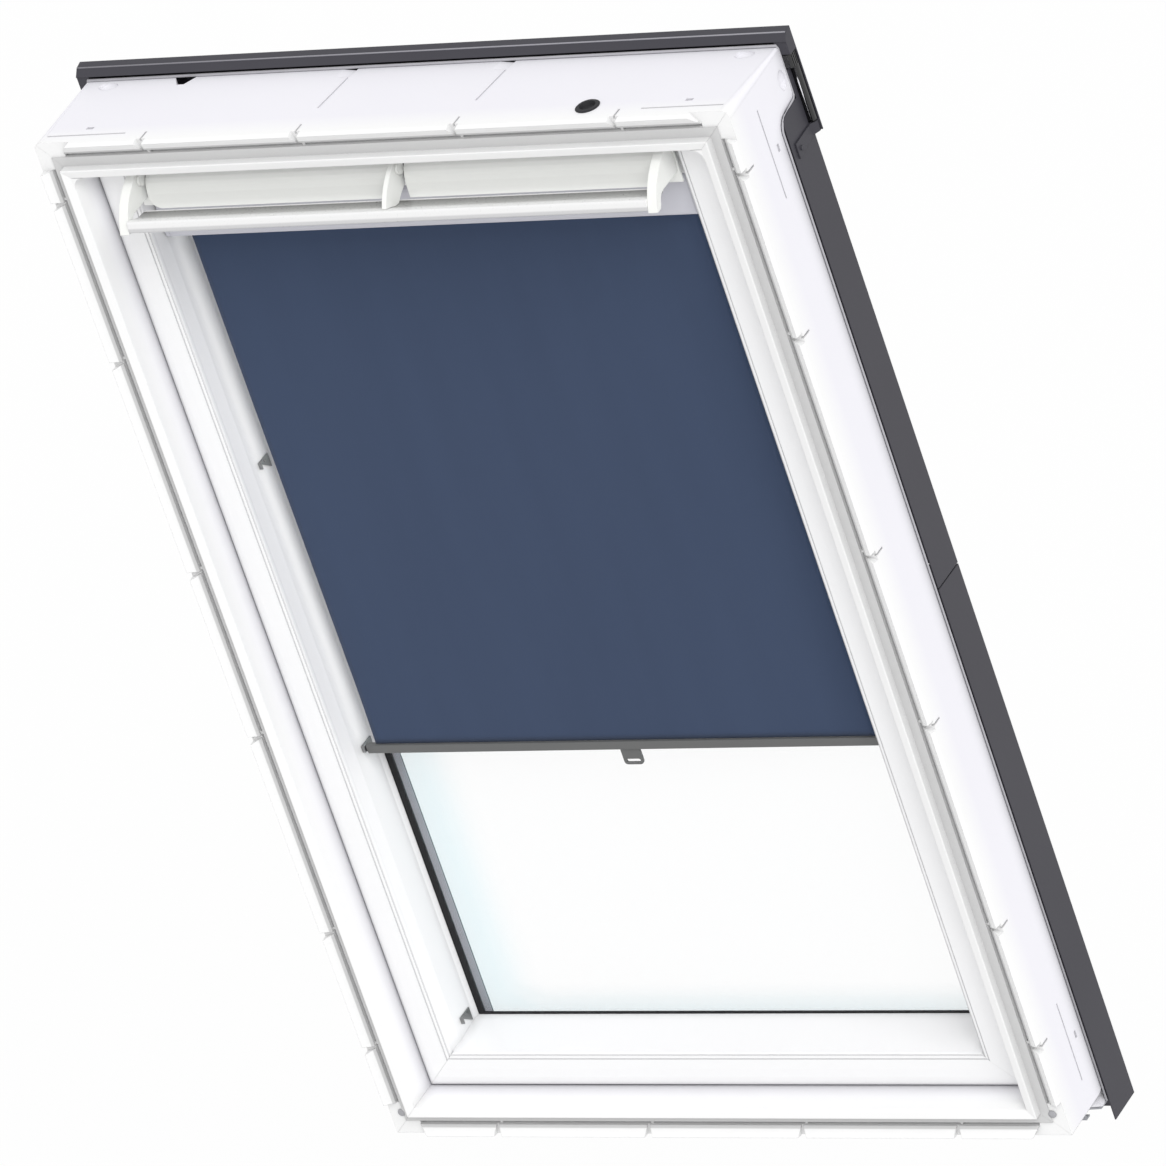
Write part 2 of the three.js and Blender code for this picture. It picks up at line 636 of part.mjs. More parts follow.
function makeFrameFittings() {
  const { share, back, flange, body, dimple, height, long, sink } = GROMMET;
  const profile = [[0, -long], [body, -long], [body, SEAT], [flange, SEAT], [flange, height / 2],
    [flange - height, height + SEAT], [dimple + height, height + SEAT], [dimple, -sink], [0, -sink]];
  const lathe = new THREE.LatheGeometry(profile.map(([r, h]) => new THREE.Vector2(r, h)), ROUND);
  const grommet = solidOf(lathe, (x, y, z) => [share * HALF + x, back - z, FRAME.height + y]);
  part('cable_grommet', grommet, 'rubber');

  const seal = ring(inset(OPENING, SEAT), inset(OPENING, SEAT + SEAL.thick), SEAL.front, SEAL.back);
  part('weather_seal', seal, 'greyRubber');

  const { front, thick, hook, hookReach } = SILL_SEAL;
  const { rise, start, heel, heelDrop, back: end, backDrop } = UNDER;
  const sillSeal = outline([
    [front, rise - SEAT],
    [start - SEAT, rise - SEAT],
    [heel - SEAT, -heelDrop - SEAT],
    [end, -backDrop - SEAT],
    [end, -backDrop - SEAT - thick],
    [heel - thick, -heelDrop - SEAT - thick],
    [start - thick, rise - SEAT - thick],
    [front + thick, rise - SEAT - thick],
    [front + thick, -hook + thick],
    [front + hookReach, -hook + thick],
    [front + hookReach, -hook],
    [front, -hook],
  ]);
  part('sill_seal', alongX(sillSeal, SHEET - HALF, HALF - SHEET), 'greyRubber');
}

// Claddings fixed to the frame

function seamNotch(side) {
  const from = side * (SASH_RECT.half - SEAM_NOTCH.overLeaf);
  const to = side * (OPENING.half + BRACKET.clear + BRACKET.thick + BRACKET.pinOver + SEAM_NOTCH.overPin);
  return brick(Math.min(from, to), Math.max(from, to),
    COVER.out - SHEET - CUT, COVER.out + CUT, PIVOT.up - SEAM_NOTCH.half, PIVOT.up + SEAM_NOTCH.half);
}

function makeUpperCover(name, side) {
  const { front, seam, webIn, webUp, jogLap, earTop, earDeep, out } = COVER;
  const low = PIVOT.up + seam / 2;
  const ear = FRAME.headDepth + SHEET;
  const shoulder = JOG + jogLap;
  const sheet = outline([
    [front, low],
    [front, shoulder, FRAME.jogRound],
    [ear, shoulder + FRAME.jogRise],
    [ear, FRAME.height - earTop],
    [ear + earDeep, FRAME.height - earTop],
    [ear + earDeep, COVER_TOP + (out - ear - earDeep)],
    [out, COVER_TOP],
    [out, low],
  ]);
  const skin = side * COVER_SIDE;
  const web = side * (HALF - webIn);
  const pieces = [
    alongX(sheet, skin - side * SHEET, skin),
    brick(Math.min(web, skin), Math.max(web, skin), out - SHEET, out, low, COVER_TOP),
    alongX(block(FRAME.depth + SEAT, out, PIVOT.up + webUp, COVER_TOP), web, web + side * SHEET),
  ];
  part(`upper_side_cover_${name}`, joined(pieces).subtract(seamNotch(side)), 'cladding');
}

function makeHood() {
  const { over, lowBelow, edgeSink, edgeUp, foldPast, foldUp, rise, cheekBelow, cheek } = HOOD;
  const edge = FRAME.headDepth - edgeSink;
  const fold = FRAME.headDepth + foldPast;
  const out = HOOD_OUT;
  const half = HALF + over;
  const base = FRAME.height;
  const low = base - lowBelow;
  const sheet = outline([
    [edge, base + edgeUp],
    [fold, base + foldUp],
    [out, base + rise],
    [out, low],
    [out - SHEET, low],
    [out - SHEET, base + rise - SHEET * 3 / 2],
    [fold + SHEET / 2, base + foldUp - SHEET],
    [edge + SHEET, base + edgeUp - SHEET / 2],
  ]);
  const end = outline([
    [edge + SHEET, base - cheekBelow],
    [out, base - cheekBelow],
    [out, base + rise],
    [fold, base + foldUp],
    [edge + SHEET, mix(base + edgeUp, base + foldUp, SHEET / (fold - edge))],
  ]);
  const pieces = [alongX(sheet, -half, half)];
  for (const side of [-1, 1]) pieces.push(alongX(end, side * (half - cheek), side * half));
  part('top_hood', joined(pieces), 'cladding');
}

// A ribbed plug closes each end of the hood, and a rounded strip runs down from it
function makeHoodEnds() {
  const { topBelow, partBelow, lowBelow, frontPast, stripPast, clear, block: wide, round, rib, ribs } = HOOD_END;
  const front = FRAME.headDepth + frontPast;
  const strip = FRAME.headDepth + stripPast;
  const skin = HALF + HOOD.over - clear;
  const back = HOOD_OUT - SHEET - SEAT;
  const parting = FRAME.height - partBelow;
  for (const [name, side] of [['left', -1], ['right', 1]]) {
    const section = (from, near) => outline([
      [side * from, near],
      [side * skin, near, round],
      [side * skin, back],
      [side * from, back],
    ]);
    const plug = alongZ(section(skin - wide, front), parting, FRAME.height - topBelow);
    const run = alongZ(section(COVER_SIDE + SEAT * 2, strip), FRAME.height - lowBelow, parting + SEAT);
    const step = (back - front) / (ribs + 1);
    const grooves = Array.from({ length: ribs }, (_, k) => {
      const y = front + step * (k + 1);
      return alongX(block(y - rib / 2, y + rib / 2, parting - CUT, FRAME.height), side * (skin - rib), side * (skin + CUT));
    });
    part(`hood_end_${name}`, joined([cutBy(plug, grooves), run]), 'black');
  }
}

// A strap screwed to each side cladding carries the hood's corner
function makeStraps() {
  const { lowBelow, lowRise, highBelow, highRise, front, flare, thick, screw, screwInset, screwUp } = STRAP;
  const inner = COVER_SIDE + SEAT;
  const reach = HOOD_OUT - SHEET - SEAT;
  const low = FRAME.height - lowBelow;
  const high = FRAME.height - highBelow;
  const place = (x, y, t) => {
    const share = (y - front) / (reach - front);
    return [x, y, mix(low + lowRise * share, high + highRise * share, t)];
  };
  for (const [name, side] of [['left', -1], ['right', 1]]) {
    const section = outline([
      [side * inner, front],
      [side * (inner + thick), front],
      [side * (inner + thick), reach - flare],
      [side * (inner + flare - thick), reach - thick],
      [side * (inner + flare - thick), reach],
      [side * inner, reach],
    ]);
    const face = side * (inner + thick);
    const tip = face + side * thick;
    const head = rodX(front + screwInset, low + screwUp, screw, face - side * SEAT, tip, CURVE * 2);
    part(`hood_strap_${name}`, extruded(section, place).add(head), 'cladding');
  }
}

// Pivot hinges

function makePivots() {
  const near = OPENING.half + BRACKET.clear;
  for (const [name, side] of [['left', -1], ['right', 1]]) {
    const base = FRAME.depth + SEAT;
    const sole = block(base, base + BRACKET.footThick, PIVOT.up - BRACKET.half, PIVOT.up + BRACKET.half);
    const foot = alongX(sole, side * near, side * (near + BRACKET.foot));
    const web = outline([
      [FRAME.depth + SEAT, PIVOT.up - PIVOT.web * 2],
      [PIVOT.out, PIVOT.up - PIVOT.eye],
      [PIVOT.out, PIVOT.up + PIVOT.eye],
      [FRAME.depth + SEAT, PIVOT.up + PIVOT.web * 2],
    ]);
    const from = side * near;
    const to = side * (near + BRACKET.thick);
    const bracket = joined([foot, alongX(web, from, to), rodX(PIVOT.out, PIVOT.up, PIVOT.eye, from, to)])
      .subtract(rodX(PIVOT.out, PIVOT.up, PIVOT.pin + PIVOT.play, from - side * CUT, to + side * CUT));
    part(`pivot_bracket_${name}`, bracket, 'steel');

    const leafFrom = side * (SASH_RECT.half + LEAF.gap);
    const leafTo = side * (SASH_RECT.half + LEAF.gap + LEAF.thick);
    const neck = outline([
      [LEAF.from, PIVOT.up - LEAF.half, CUT],
      [LEAF.to, PIVOT.up - LEAF.half, CUT],
      [LEAF.to, PIVOT.up - PIVOT.web],
      [PIVOT.out, PIVOT.up - PIVOT.eye],
      [PIVOT.out, PIVOT.up + PIVOT.eye],
      [LEAF.to, PIVOT.up + PIVOT.web],
      [LEAF.to, PIVOT.up + LEAF.half, CUT],
      [LEAF.from, PIVOT.up + LEAF.half, CUT],
    ]);
    const leaf = joined([
      alongX(neck, leafFrom, leafTo),
      rodX(PIVOT.out, PIVOT.up, PIVOT.eye, leafFrom, leafTo),
      rodX(PIVOT.out, PIVOT.up, PIVOT.pin, leafFrom, to + side * BRACKET.pinOver),
    ]);
    part(`pivot_leaf_${name}`, leaf, 'steel');
  }
}

// Sash members

function sashSection(rebate, cornerIn, wallPoints) {
  const { back, cornerDepth, sideFront, crown, strip, glassSeat } = SASH;
  const { grooveWide: wide, grooveDeep: deep } = SASH;
  const first = SASH.crownEnd + cornerIn - SASH.cornerIn;
  const second = first + wide + strip;
  const shape = new THREE.Shape();
  shape.moveTo(0, back);
  shape.lineTo(0, sideFront);
  shape.bezierCurveTo(wide, mix(sideFront, crown, 0.7), mix(0, first, 0.5), crown, first, crown);
  shape.lineTo(first, crown + deep);
  shape.lineTo(first + wide, crown + deep);
  shape.lineTo(first + wide, crown + wide / 4);
  shape.lineTo(second, crown + wide / 2);
  shape.lineTo(second, crown + wide / 2 + deep);
  shape.lineTo(second + wide, crown + wide / 2 + deep);
  shape.lineTo(second + wide, crown + wide);
  shape.quadraticCurveTo(cornerIn, mix(crown, cornerDepth, 0.4), cornerIn, cornerDepth);
  for (const [inward, depth] of wallPoints) shape.lineTo(inward, depth);
  shape.lineTo(rebate, glassSeat);
  shape.lineTo(rebate, back);
  shape.closePath();
  return shape;
}

const STILE_SECTION = sashSection(SASH.rebateSide, SASH.cornerIn, [
  [SASH.wall, SASH.wallFront],
  [SASH.wall, SASH.wallBack],
  [SASH.daylight, SASH.glassSeat],
]);
const SILL_SECTION = sashSection(SASH.rebateSill, SASH.sillWall, [[SASH.sillDaylight, SASH.glassSeat]]);

// The space that the stiles take up, for the members that end against their inner walls
function stileSpace() {
  const { half, bottom, top } = SASH_RECT;
  return joined([-1, 1].map((side) => extruded(STILE_SECTION, (inward, depth, t) =>
    [side * (half - inward - (inward > 0 ? MITRE : 0)), depth, mix(bottom - CUT, top + CUT, t)])));
}

function makeSash() {
  const { half, bottom, top } = SASH_RECT;
  const space = stileSpace();
  const between = extruded(SILL_SECTION, (inward, depth, t) =>
    [mix(-WALL_HALF - CUT / 2, WALL_HALF + CUT / 2, t), depth, bottom + inward]).subtract(space);
  const core = between.intersect(brick(-half, half, SASH.cornerDepth, SASH.glassSeat, SILL_OVER - CUT, top));
  part('sash_sill', ringMember(SILL_SECTION, 'sill', SASH_RECT).add(core), 'sashWhite');
  for (const side of ['left', 'right']) {
    part(`sash_stile_${side}`, ringMember(STILE_SECTION, side, SASH_RECT, { high: top }), 'sashWhite');
  }
  const { headFront, glassSeat, back, rebateSide } = SASH;
  const section = outline([
    [headFront, HEAD_UNDER, SHEET],
    [glassSeat, HEAD_UNDER],
    [glassSeat, top - rebateSide],
    [back, top - rebateSide],
    [back, top],
    [headFront, top, SHEET],
  ]);
  const filterHalf = WALL_HALF - FILTER.side;
  const filterLow = top - FILTER.lowBelow;
  const filterHigh = top - FILTER.highBelow;
  const head = cutBy(alongX(section, -WALL_HALF - CUT / 2, WALL_HALF + CUT / 2), [
    space,
    brick(-filterHalf - SEAT, filterHalf + SEAT, headFront - CUT, headFront + FILTER.deep + SEAT,
      filterLow - SEAT, filterHigh + SEAT),
    brick(-LATCH.half - SEAT, LATCH.half + SEAT, LATCH.front - SEAT, LATCH.back + SEAT,
      top - LATCH.lowBelow - SEAT, top + CUT),
  ]);
  part('sash_head', head, 'sashWhite');
  part('air_filter', brick(-filterHalf, filterHalf, headFront + SEAT, headFront + FILTER.deep, filterLow, filterHigh),
    'foam');
}

// Glass unit and its gasket

function makeGlass() {
  const { half, bottom, top } = GLASS;
  part('inner_pane', brick(-half, half, PANE_IN, PANE_IN + PANE, bottom, top), 'glass');
  part('outer_pane', brick(-half, half, PANE_OUT, PANE_OUT + PANE - SEAT, bottom, top), 'glass');

  const { behind, wide, edge } = SPACER;
  const outer = { half: DAYLIGHT.half + behind, bottom: bottom + edge, top: top - edge };
  part('glass_spacer', ring(outer, inset(outer, wide), PANE_IN + PANE + SEAT, PANE_OUT - SEAT), 'spacer');

  const rebate = { half: GLASS.half, bottom: GLASS.bottom, top: GLASS.top };
  const clear = { ...inset(DAYLIGHT, GASKET.reach), half: DAYLIGHT.half - GASKET.sideReach };
  const gasket = ring(rebate, clear, SASH.glassSeat + SEAT, PANE_IN - SEAT);
  part('glazing_gasket', gasket, 'rubber');
}

// Claddings fixed to the sash

function makeSashCovers() {
  const lap = SASH_RECT.half - COVER.glassLap;
  const glassFace = PANE_OUT + PANE + SEAT;
  const seat = SASH.back + SEAT;
  const outer = COVER.out;
  const seamLow = PIVOT.up - COVER.seam / 2;
  const bottom = -COVER.drop;
  const bottomBar = bottom + SHEET + SEAT;
  for (const [name, side] of [['left', -1], ['right', 1]]) {
    const mirrored = (points) => outline(points.map(([x, y]) => [side * x, y]));
    const foot = SASH_RECT.half - COVER.foot;
    const low = mirrored([
      [lap, glassFace],
      [lap + COVER.lean, outer],
      [COVER_SIDE, outer],
      [COVER_SIDE, COVER.front],
      [COVER_SIDE - SHEET, COVER.front],
      [COVER_SIDE - SHEET, outer - SHEET],
      [foot + SHEET, outer - SHEET],
      [foot + SHEET, seat],
      [foot, seat],
      [foot, outer - SHEET],
      [lap + SHEET + COVER.lean, outer - SHEET],
      [lap + SHEET, glassFace],
    ]);
    const lowCover = alongZ(low, bottomBar, seamLow).subtract(seamNotch(side));
    part(`lower_side_cover_${name}`, lowCover, 'cladding');

    const edge = SASH_RECT.half - SEAT;
    const high = mirrored([
      [lap, glassFace],
      [lap, COVER.sashTop],
      [edge, COVER.sashTop],
      [edge, seat],
      [edge - SHEET, seat],
      [edge - SHEET, COVER.sashTop - SHEET],
      [lap + SHEET, COVER.sashTop - SHEET],
      [lap + SHEET, glassFace],
    ]);
    part(`upper_sash_cover_${name}`, alongZ(high, PIVOT.up + COVER.seam / 2, SASH_RECT.top), 'cladding');
  }

  const inner = lap - SEAT;
  const headLap = SASH_RECT.top - COVER.glassLap;
  const head = outline([
    [glassFace, headLap],
    [COVER.sashTop, headLap],
    [COVER.sashTop, SASH_RECT.top],
    [seat, SASH_RECT.top],
    [seat, SASH_RECT.top - SHEET],
    [COVER.sashTop - SHEET, SASH_RECT.top - SHEET],
    [COVER.sashTop - SHEET, headLap + SHEET],
    [glassFace, headLap + SHEET],
  ]);
  part('sash_cover_head', alongX(head, -inner, inner), 'cladding');

  const sillLap = SASH_RECT.bottom + COVER.glassLap;
  const foot = sillLap - COVER.sillLean - SHEET * 3;
  const sill = outline([
    [glassFace, sillLap],
    [outer, sillLap - COVER.sillLean],
    [outer, bottom],
    [outer - SHEET, bottom],
    [outer - SHEET, foot],
    [seat, foot],
    [seat, foot + SHEET],
    [outer - SHEET, foot + SHEET],
    [outer - SHEET, sillLap - COVER.sillLean - SHEET],
    [glassFace, sillLap - SHEET],
  ]);
  const tray = outline([
    [COVER.lipFront, bottom],
    [outer, bottom],
    [outer, bottom + SHEET],
    [COVER.lipFront + SHEET, bottom + SHEET],
    [COVER.lipFront + SHEET, bottom + COVER.lipHeight],
    [COVER.lipFront, bottom + COVER.lipHeight],
  ]);
  const wide = COVER_SIDE - SHEET - SEAT;
  part('sash_cover_sill', joined([alongX(sill, -inner, inner), alongX(tray, -wide, wide)]), 'cladding');
}

// Control bar, its arms, lugs and the flap

// The bar's hollow crown, lifted by a clearance where another piece fits round it
const barCrown = (lift) => [
  [BAR.front + BAR.edge / 3, BAR_HIGH + lift, BAR.edge],
  [mix(BAR.front, BAR.back, 0.3), mix(BAR_HIGH, BAR_DIP, 0.35) + lift, BAR.edge],
  [mix(BAR.front, BAR.back, 0.62), BAR_DIP + lift, BAR.edge],
  [BAR.back, BAR_DIP - SHEET / 2 + lift],
];

function makeControlBar() {
  const bar = outline([
    [BAR.front, mix(BAR_LOW, BAR_HIGH, 0.15), BAR.edge / 2],
    ...barCrown(0),
    [BAR.back, BAR_LOW + BAR.edge],
    [mix(BAR.back, BAR.front, 0.3), BAR_LOW, BAR.edge],
    [BAR.front + BAR.edge, BAR_LOW, BAR.edge / 2],
  ]);
  part('control_bar', alongX(bar, -BAR_HALF, BAR_HALF), 'lacquer');

  const { pivotDepth, hub, hole, thick, midThick, tail, tailRound, toe, blind } = ARM;
  // Both shapes share the swept front edge and the round of the hub
  const swept = () => {
    const shape = new THREE.Shape();
    shape.moveTo(BAR.front - SHEET / 2, BAR_LOW);
    shape.bezierCurveTo(
      mix(BAR.front, pivotDepth, 0.12), mix(BAR_LOW, ARM_UP, 0.5),
      mix(BAR.front, pivotDepth, 0.4), mix(BAR_LOW, ARM_UP, 0.95),
      pivotDepth - hub / 2, ARM_UP + hub * 0.8,
    );
    return shape;
  };
  const cheek = swept();
  cheek.absarc(pivotDepth, ARM_UP, hub, Math.PI * 0.7, Math.PI / 2, true);
  cheek.quadraticCurveTo(tail, ARM_UP + hub, tail, ARM_UP);
  cheek.lineTo(tail, BAR_LOW + toe + tailRound);
  cheek.quadraticCurveTo(tail, BAR_LOW + toe, tail - tailRound, BAR_LOW + toe);
  cheek.lineTo(mix(BAR.front, tail, 0.43), BAR_LOW + toe);
  cheek.quadraticCurveTo(
    mix(BAR.front, tail, 0.27), BAR_LOW + toe,
    mix(BAR.front, tail, 0.2), BAR_LOW + toe / 2,
  );
  cheek.quadraticCurveTo(mix(BAR.front, tail, 0.15), BAR_LOW, mix(BAR.front, tail, 0.1), BAR_LOW);
  cheek.closePath();
  const fin = swept();
  fin.absarc(pivotDepth, ARM_UP, hub, Math.PI * 0.7, -Math.PI * 0.15, true);
  fin.lineTo(pivotDepth + hub / 2, mix(BAR_LOW, ARM_UP, 0.45));
  fin.quadraticCurveTo(
    mix(BAR.front, pivotDepth, 0.7), mix(BAR_LOW, ARM_UP, 0.3),
    mix(BAR.front, pivotDepth, 0.5), BAR_LOW,
  );
  fin.closePath();
  const bore = (from, to) => rodX(pivotDepth, ARM_UP, hole, from, to, CURVE * 3);
  for (const [name, side] of [['left', -1], ['right', 1]]) {
    const from = side * (BAR_HALF + SEAT);
    const arm = alongX(cheek, from, from + side * thick, CURVE * 2)
      .subtract(bore(from - side * CUT, from + side * (thick - blind)));
    part(`bar_arm_${name}`, arm, 'cream');
  }
  const rise = SEAT * 2;
  const under = outline([
    [BAR.front - CUT, BAR_LOW - CUT],
    [BAR.front - CUT, BAR_HIGH + rise],
    ...barCrown(rise),
    [BAR.back + rise, BAR_DIP],
    [BAR.back + rise, BAR_LOW - CUT],
  ]);
  const middle = alongX(fin, -midThick / 2, midThick / 2, CURVE * 2)
    .subtract(alongX(under, -midThick, midThick))
    .subtract(bore(-midThick, midThick));
  part('bar_arm_middle', middle, 'cream');
}

// The rail on the sash head whose lugs and pins carry the arms
function makeHingeRail() {
  const { pivotDepth, pin, thick, midThick, blind } = ARM;
  const { wingFront, wingBack, wingSide, wingLow, wingTop } = RAIL;
  const root = SASH.headFront - SEAT;
  const side = block(pivotDepth, root, ARM_UP - LUG.half, ARM_UP + LUG.half);
  const over = outline([
    [root, ARM_UP + LUG.over],
    [root, ARM_UP + LUG.over + LUG.bridge],
    [pivotDepth, ARM_UP + LUG.over + LUG.bridge, LUG.bridge],
    [pivotDepth - LUG.half, ARM_UP],
    [pivotDepth + LUG.half, ARM_UP],
    [pivotDepth + LUG.half, ARM_UP + LUG.over],
  ]);
  const lug = (plate, hand, armFrom, pinTo) => {
    const to = hand * (armFrom - LUG.gap);
    const from = to - hand * LUG.thick;
    return [
      alongX(plate, from, to),
      rodX(pivotDepth, ARM_UP, LUG.half, from, to, CURVE * 3),
      rodX(pivotDepth, ARM_UP, pin, to, hand * pinTo, CURVE * 3),
    ];
  };
  const armAt = BAR_HALF + SEAT;
  const end = armAt - LUG.gap;
  const pinTo = armAt + thick - blind - LUG.gap;
  const wing = block(wingFront, wingBack, BAR_LOW + wingLow, ARM_UP + wingTop);
  const wings = [-1, 1].map((side) => alongX(wing, side * (end - LUG.thick), side * (WALL_HALF - wingSide)));
  part('bar_hinge_rail', joined([
    brick(-end, end, root - RAIL.thick, root, ARM_UP - RAIL.low, ARM_UP + LUG.half),
    ...lug(side, -1, armAt, pinTo),
    ...lug(side, 1, armAt, pinTo),
    ...lug(over, -1, -midThick / 2, midThick / 2),
    ...wings,
  ]), 'cream');
}

// The flap curves forward over the air filter
function makeFlap() {
  const { side: clear, thick, hingeDepth, hingeBelow, bead, front, lowBelow, notch, strip, round } = FLAP;
  const half = WALL_HALF - clear;
  const hingeUp = SASH_RECT.top - hingeBelow;
  const low = SASH_RECT.top - lowBelow;
  const curve = new THREE.Shape();
  curve.moveTo(hingeDepth, hingeUp + bead);
  curve.bezierCurveTo(
    mix(hingeDepth, front, 0.8), hingeUp + bead,
    front, mix(low, hingeUp, 0.7),
    front + thick / 4, low,
  );
  curve.lineTo(front + thick, low);
  curve.bezierCurveTo(
    front + thick, mix(low, hingeUp, 0.6),
    mix(hingeDepth, front, 0.6), hingeUp,
    hingeDepth, hingeUp,
  );
  curve.closePath();
  const corners = [-1, 1].map((side) => {
    const waste = new THREE.Shape();
    waste.moveTo(-CUT, -CUT);
    waste.lineTo(round, -CUT);
    waste.lineTo(round, 0);
    waste.absarc(round, round, round, Math.PI * 3 / 2, Math.PI, true);
    waste.lineTo(-CUT, round);
    waste.closePath();
    return extruded(waste, (a, b, t) => [side * (half - a), mix(front - CUT, strip, t), low + b], CURVE * 2);
  });
  const flap = cutBy(alongX(curve, -half, half, CURVE * 2), [
    brick(-notch, notch, front - CUT, strip, low - CUT, hingeUp + CUT),
    ...corners,
  ]);
  part('vent_flap', flap.add(rodX(hingeDepth, hingeUp, bead, -half, half, CURVE * 2)), 'cream');
}

// Latch in the sash head, its striker on the frame head

function makeLatch() {
  const { half, front, back, lowBelow, wall, hub, nose, pin, thick, pivotBelow } = LATCH;
  const top = SASH_RECT.top - SEAT;
  const low = SASH_RECT.top - lowBelow;
  const up = SASH_RECT.top - pivotBelow;
  const middle = (front + back) / 2;
  const shell = brick(-half, half, front, back, low, top)
    .subtract(brick(-half + wall, half - wall, front + wall, back - wall, low + wall, top + CUT));
  const ears = [-1, 1].map((side) => brick(
    Math.min(side * (thick / 2 + SEAT * 2), side * (thick / 2 + wall + SEAT * 2)),
    Math.max(side * (thick / 2 + SEAT * 2), side * (thick / 2 + wall + SEAT * 2)),
    middle - hub, middle + hub, low + wall / 2, up + hub));
  const spindle = rodX(middle, up, pin, -thick / 2 - wall, thick / 2 + wall, CURVE * 3);
  part('lock_case', joined([shell, ...ears, spindle]), 'steel');

  const pawl = outline([
    [middle - hub, up - hub, hub / 2],
    [middle + hub, up - hub, hub / 2],
    [middle + hub, up + hub / 2],
    [middle + hub / 2, up + nose],
    [middle - hub / 3, up + nose],
    [middle - hub, up + hub],
  ]);
  const eye = rodX(middle, up, pin + SEAT * 2, -thick, thick, CURVE * 3);
  const latch = alongX(pawl, -thick / 2, thick / 2).subtract(eye);
  part('latch_pawl', latch, 'steel');

  const face = OPENING.top - SEAT;
  const striker = block(STRIKER.front, STRIKER.back, face - STRIKER.thick, face);
  part('striker_plate', alongX(striker, -STRIKER.half, STRIKER.half), 'steel');
}

// Roller blind

function casingOutline(wall) {
  const { front, back, high, round } = CASING;
  return [
    [front + wall, CASING_TOP - high + wall, round - wall],
    [front + wall, CASING_TOP - wall, round - wall],
    [back - wall, CASING_TOP - wall, wall ? 0 : SHEET],
  ];
}

function makeCasing() {
  const { back, high, wall, lipEnd, slot } = CASING;
  const low = CASING_TOP - high;
  const [lowFront, topFront, topBack] = casingOutline(0);
  const [innerLow, innerTop, innerBack] = casingOutline(wall);
  const section = outline([
    lowFront,
    topFront,
    topBack,
    [back, low],
    [lipEnd + slot, low],
    [lipEnd + slot, low + wall],
    [back - wall, low + wall],
    innerBack,
    innerTop,
    innerLow,
    [lipEnd, low + wall],
    [lipEnd, low],
  ]);
  part('blind_casing', alongX(section, -CASING_HALF, CASING_HALF), 'casing');

  const cap = outline([lowFront, topFront, topBack, [back, low]]);
  for (const [name, side] of [['left', -1], ['right', 1]]) {
    const from = side * (CASING_HALF + SEAT);
    const plate = alongX(cap, from, from + side * CAP.thick);
    const pin = rodX(ROLLER.depth, ROLLER_UP, side > 0 ? SPRING.radius : SPRING.pin,
      side * (CASING_HALF - ROLLER.endClear - CUT * 2), from, CURVE * 3);
    part(`casing_end_${name}`, joined([plate, pin]), 'casing');
  }
}

function makeRoller() {
  const { depth: y, radius, wall, roll, endClear } = ROLLER;
  const up = ROLLER_UP;
  const half = CASING_HALF - endClear;
  const clothHalf = WALL_HALF - BLIND.side;
  const tube = disc(y, up, radius);
  tube.holes.push(disc(y, up, radius - wall));
  part('roller_tube', alongX(tube, -half, half, ROUND / 2), 'steel');
  const wound = disc(y, up, roll);
  wound.holes.push(disc(y, up, radius + SEAT));
  part('wound_fabric', alongX(wound, -clothHalf, clothHalf, ROUND / 2), 'fabric');

  const core = disc(y, up, SPRING.radius);
  core.holes.push(disc(y, up, SPRING.pin + SEAT));
  const from = -half + SEAT;
  part('roller_spring', alongX(core, from, from + SPRING.long, ROUND / 2), 'steel');
}

function makeCurtain() {
  const { plane, side: clear, cloth, barSide, barDeep } = BLIND;
  const half = WALL_HALF - clear;
  const barHalf = WALL_HALF - barSide;
  part('blind_fabric', brick(-half, half, plane - cloth / 2, plane + cloth / 2, HEM_TOP + SEAT, ROLLER_UP), 'fabric');

  const round = barDeep / 3;
  const near = plane - barDeep / 2;
  const far = plane + barDeep / 2;
  const bar = outline([[near, HEM_LOW, round], [near, HEM_TOP, round / 2], [far, HEM_TOP, round / 2],
    [far, HEM_LOW, round]]);
  part('hem_bar', alongX(bar, -barHalf, barHalf), 'hemBar');

  const { radius, collar, collarLong, drop } = END_PIN;
  const pinUp = HEM_UP - drop;
  const tip = WALL_HALF - HOOK.lip - SEAT * 2;
  for (const [name, side] of [['left', -1], ['right', 1]]) {
    const from = side * (barHalf + SEAT);
    part(`hem_bar_end_${name}`, joined([
      rodX(plane, HEM_UP, collar, from, from + side * collarLong, CURVE * 3),
      rodX(plane, pinUp, radius, from, side * tip, CURVE * 3),
    ]), 'rubber');
  }

  const { at, half: wide, high, thick, slotHalf, slotHigh, rim, round: corner } = TAB;
  const top = HEM_LOW - SEAT;
  const tab = outline([
    [at - wide, top],
    [at + wide, top],
    [at + wide, top - high, corner],
    [at - wide, top - high, corner],
  ]);
  const slotLow = top - high + rim;
  tab.holes.push(outline([[at - slotHalf, slotLow, rim], [at + slotHalf, slotLow, rim],
    [at + slotHalf, slotLow + slotHigh, rim], [at - slotHalf, slotLow + slotHigh, rim]]));
  part('pull_tab', alongY(tab, plane - thick / 2, plane + thick / 2), 'hemBar');
}

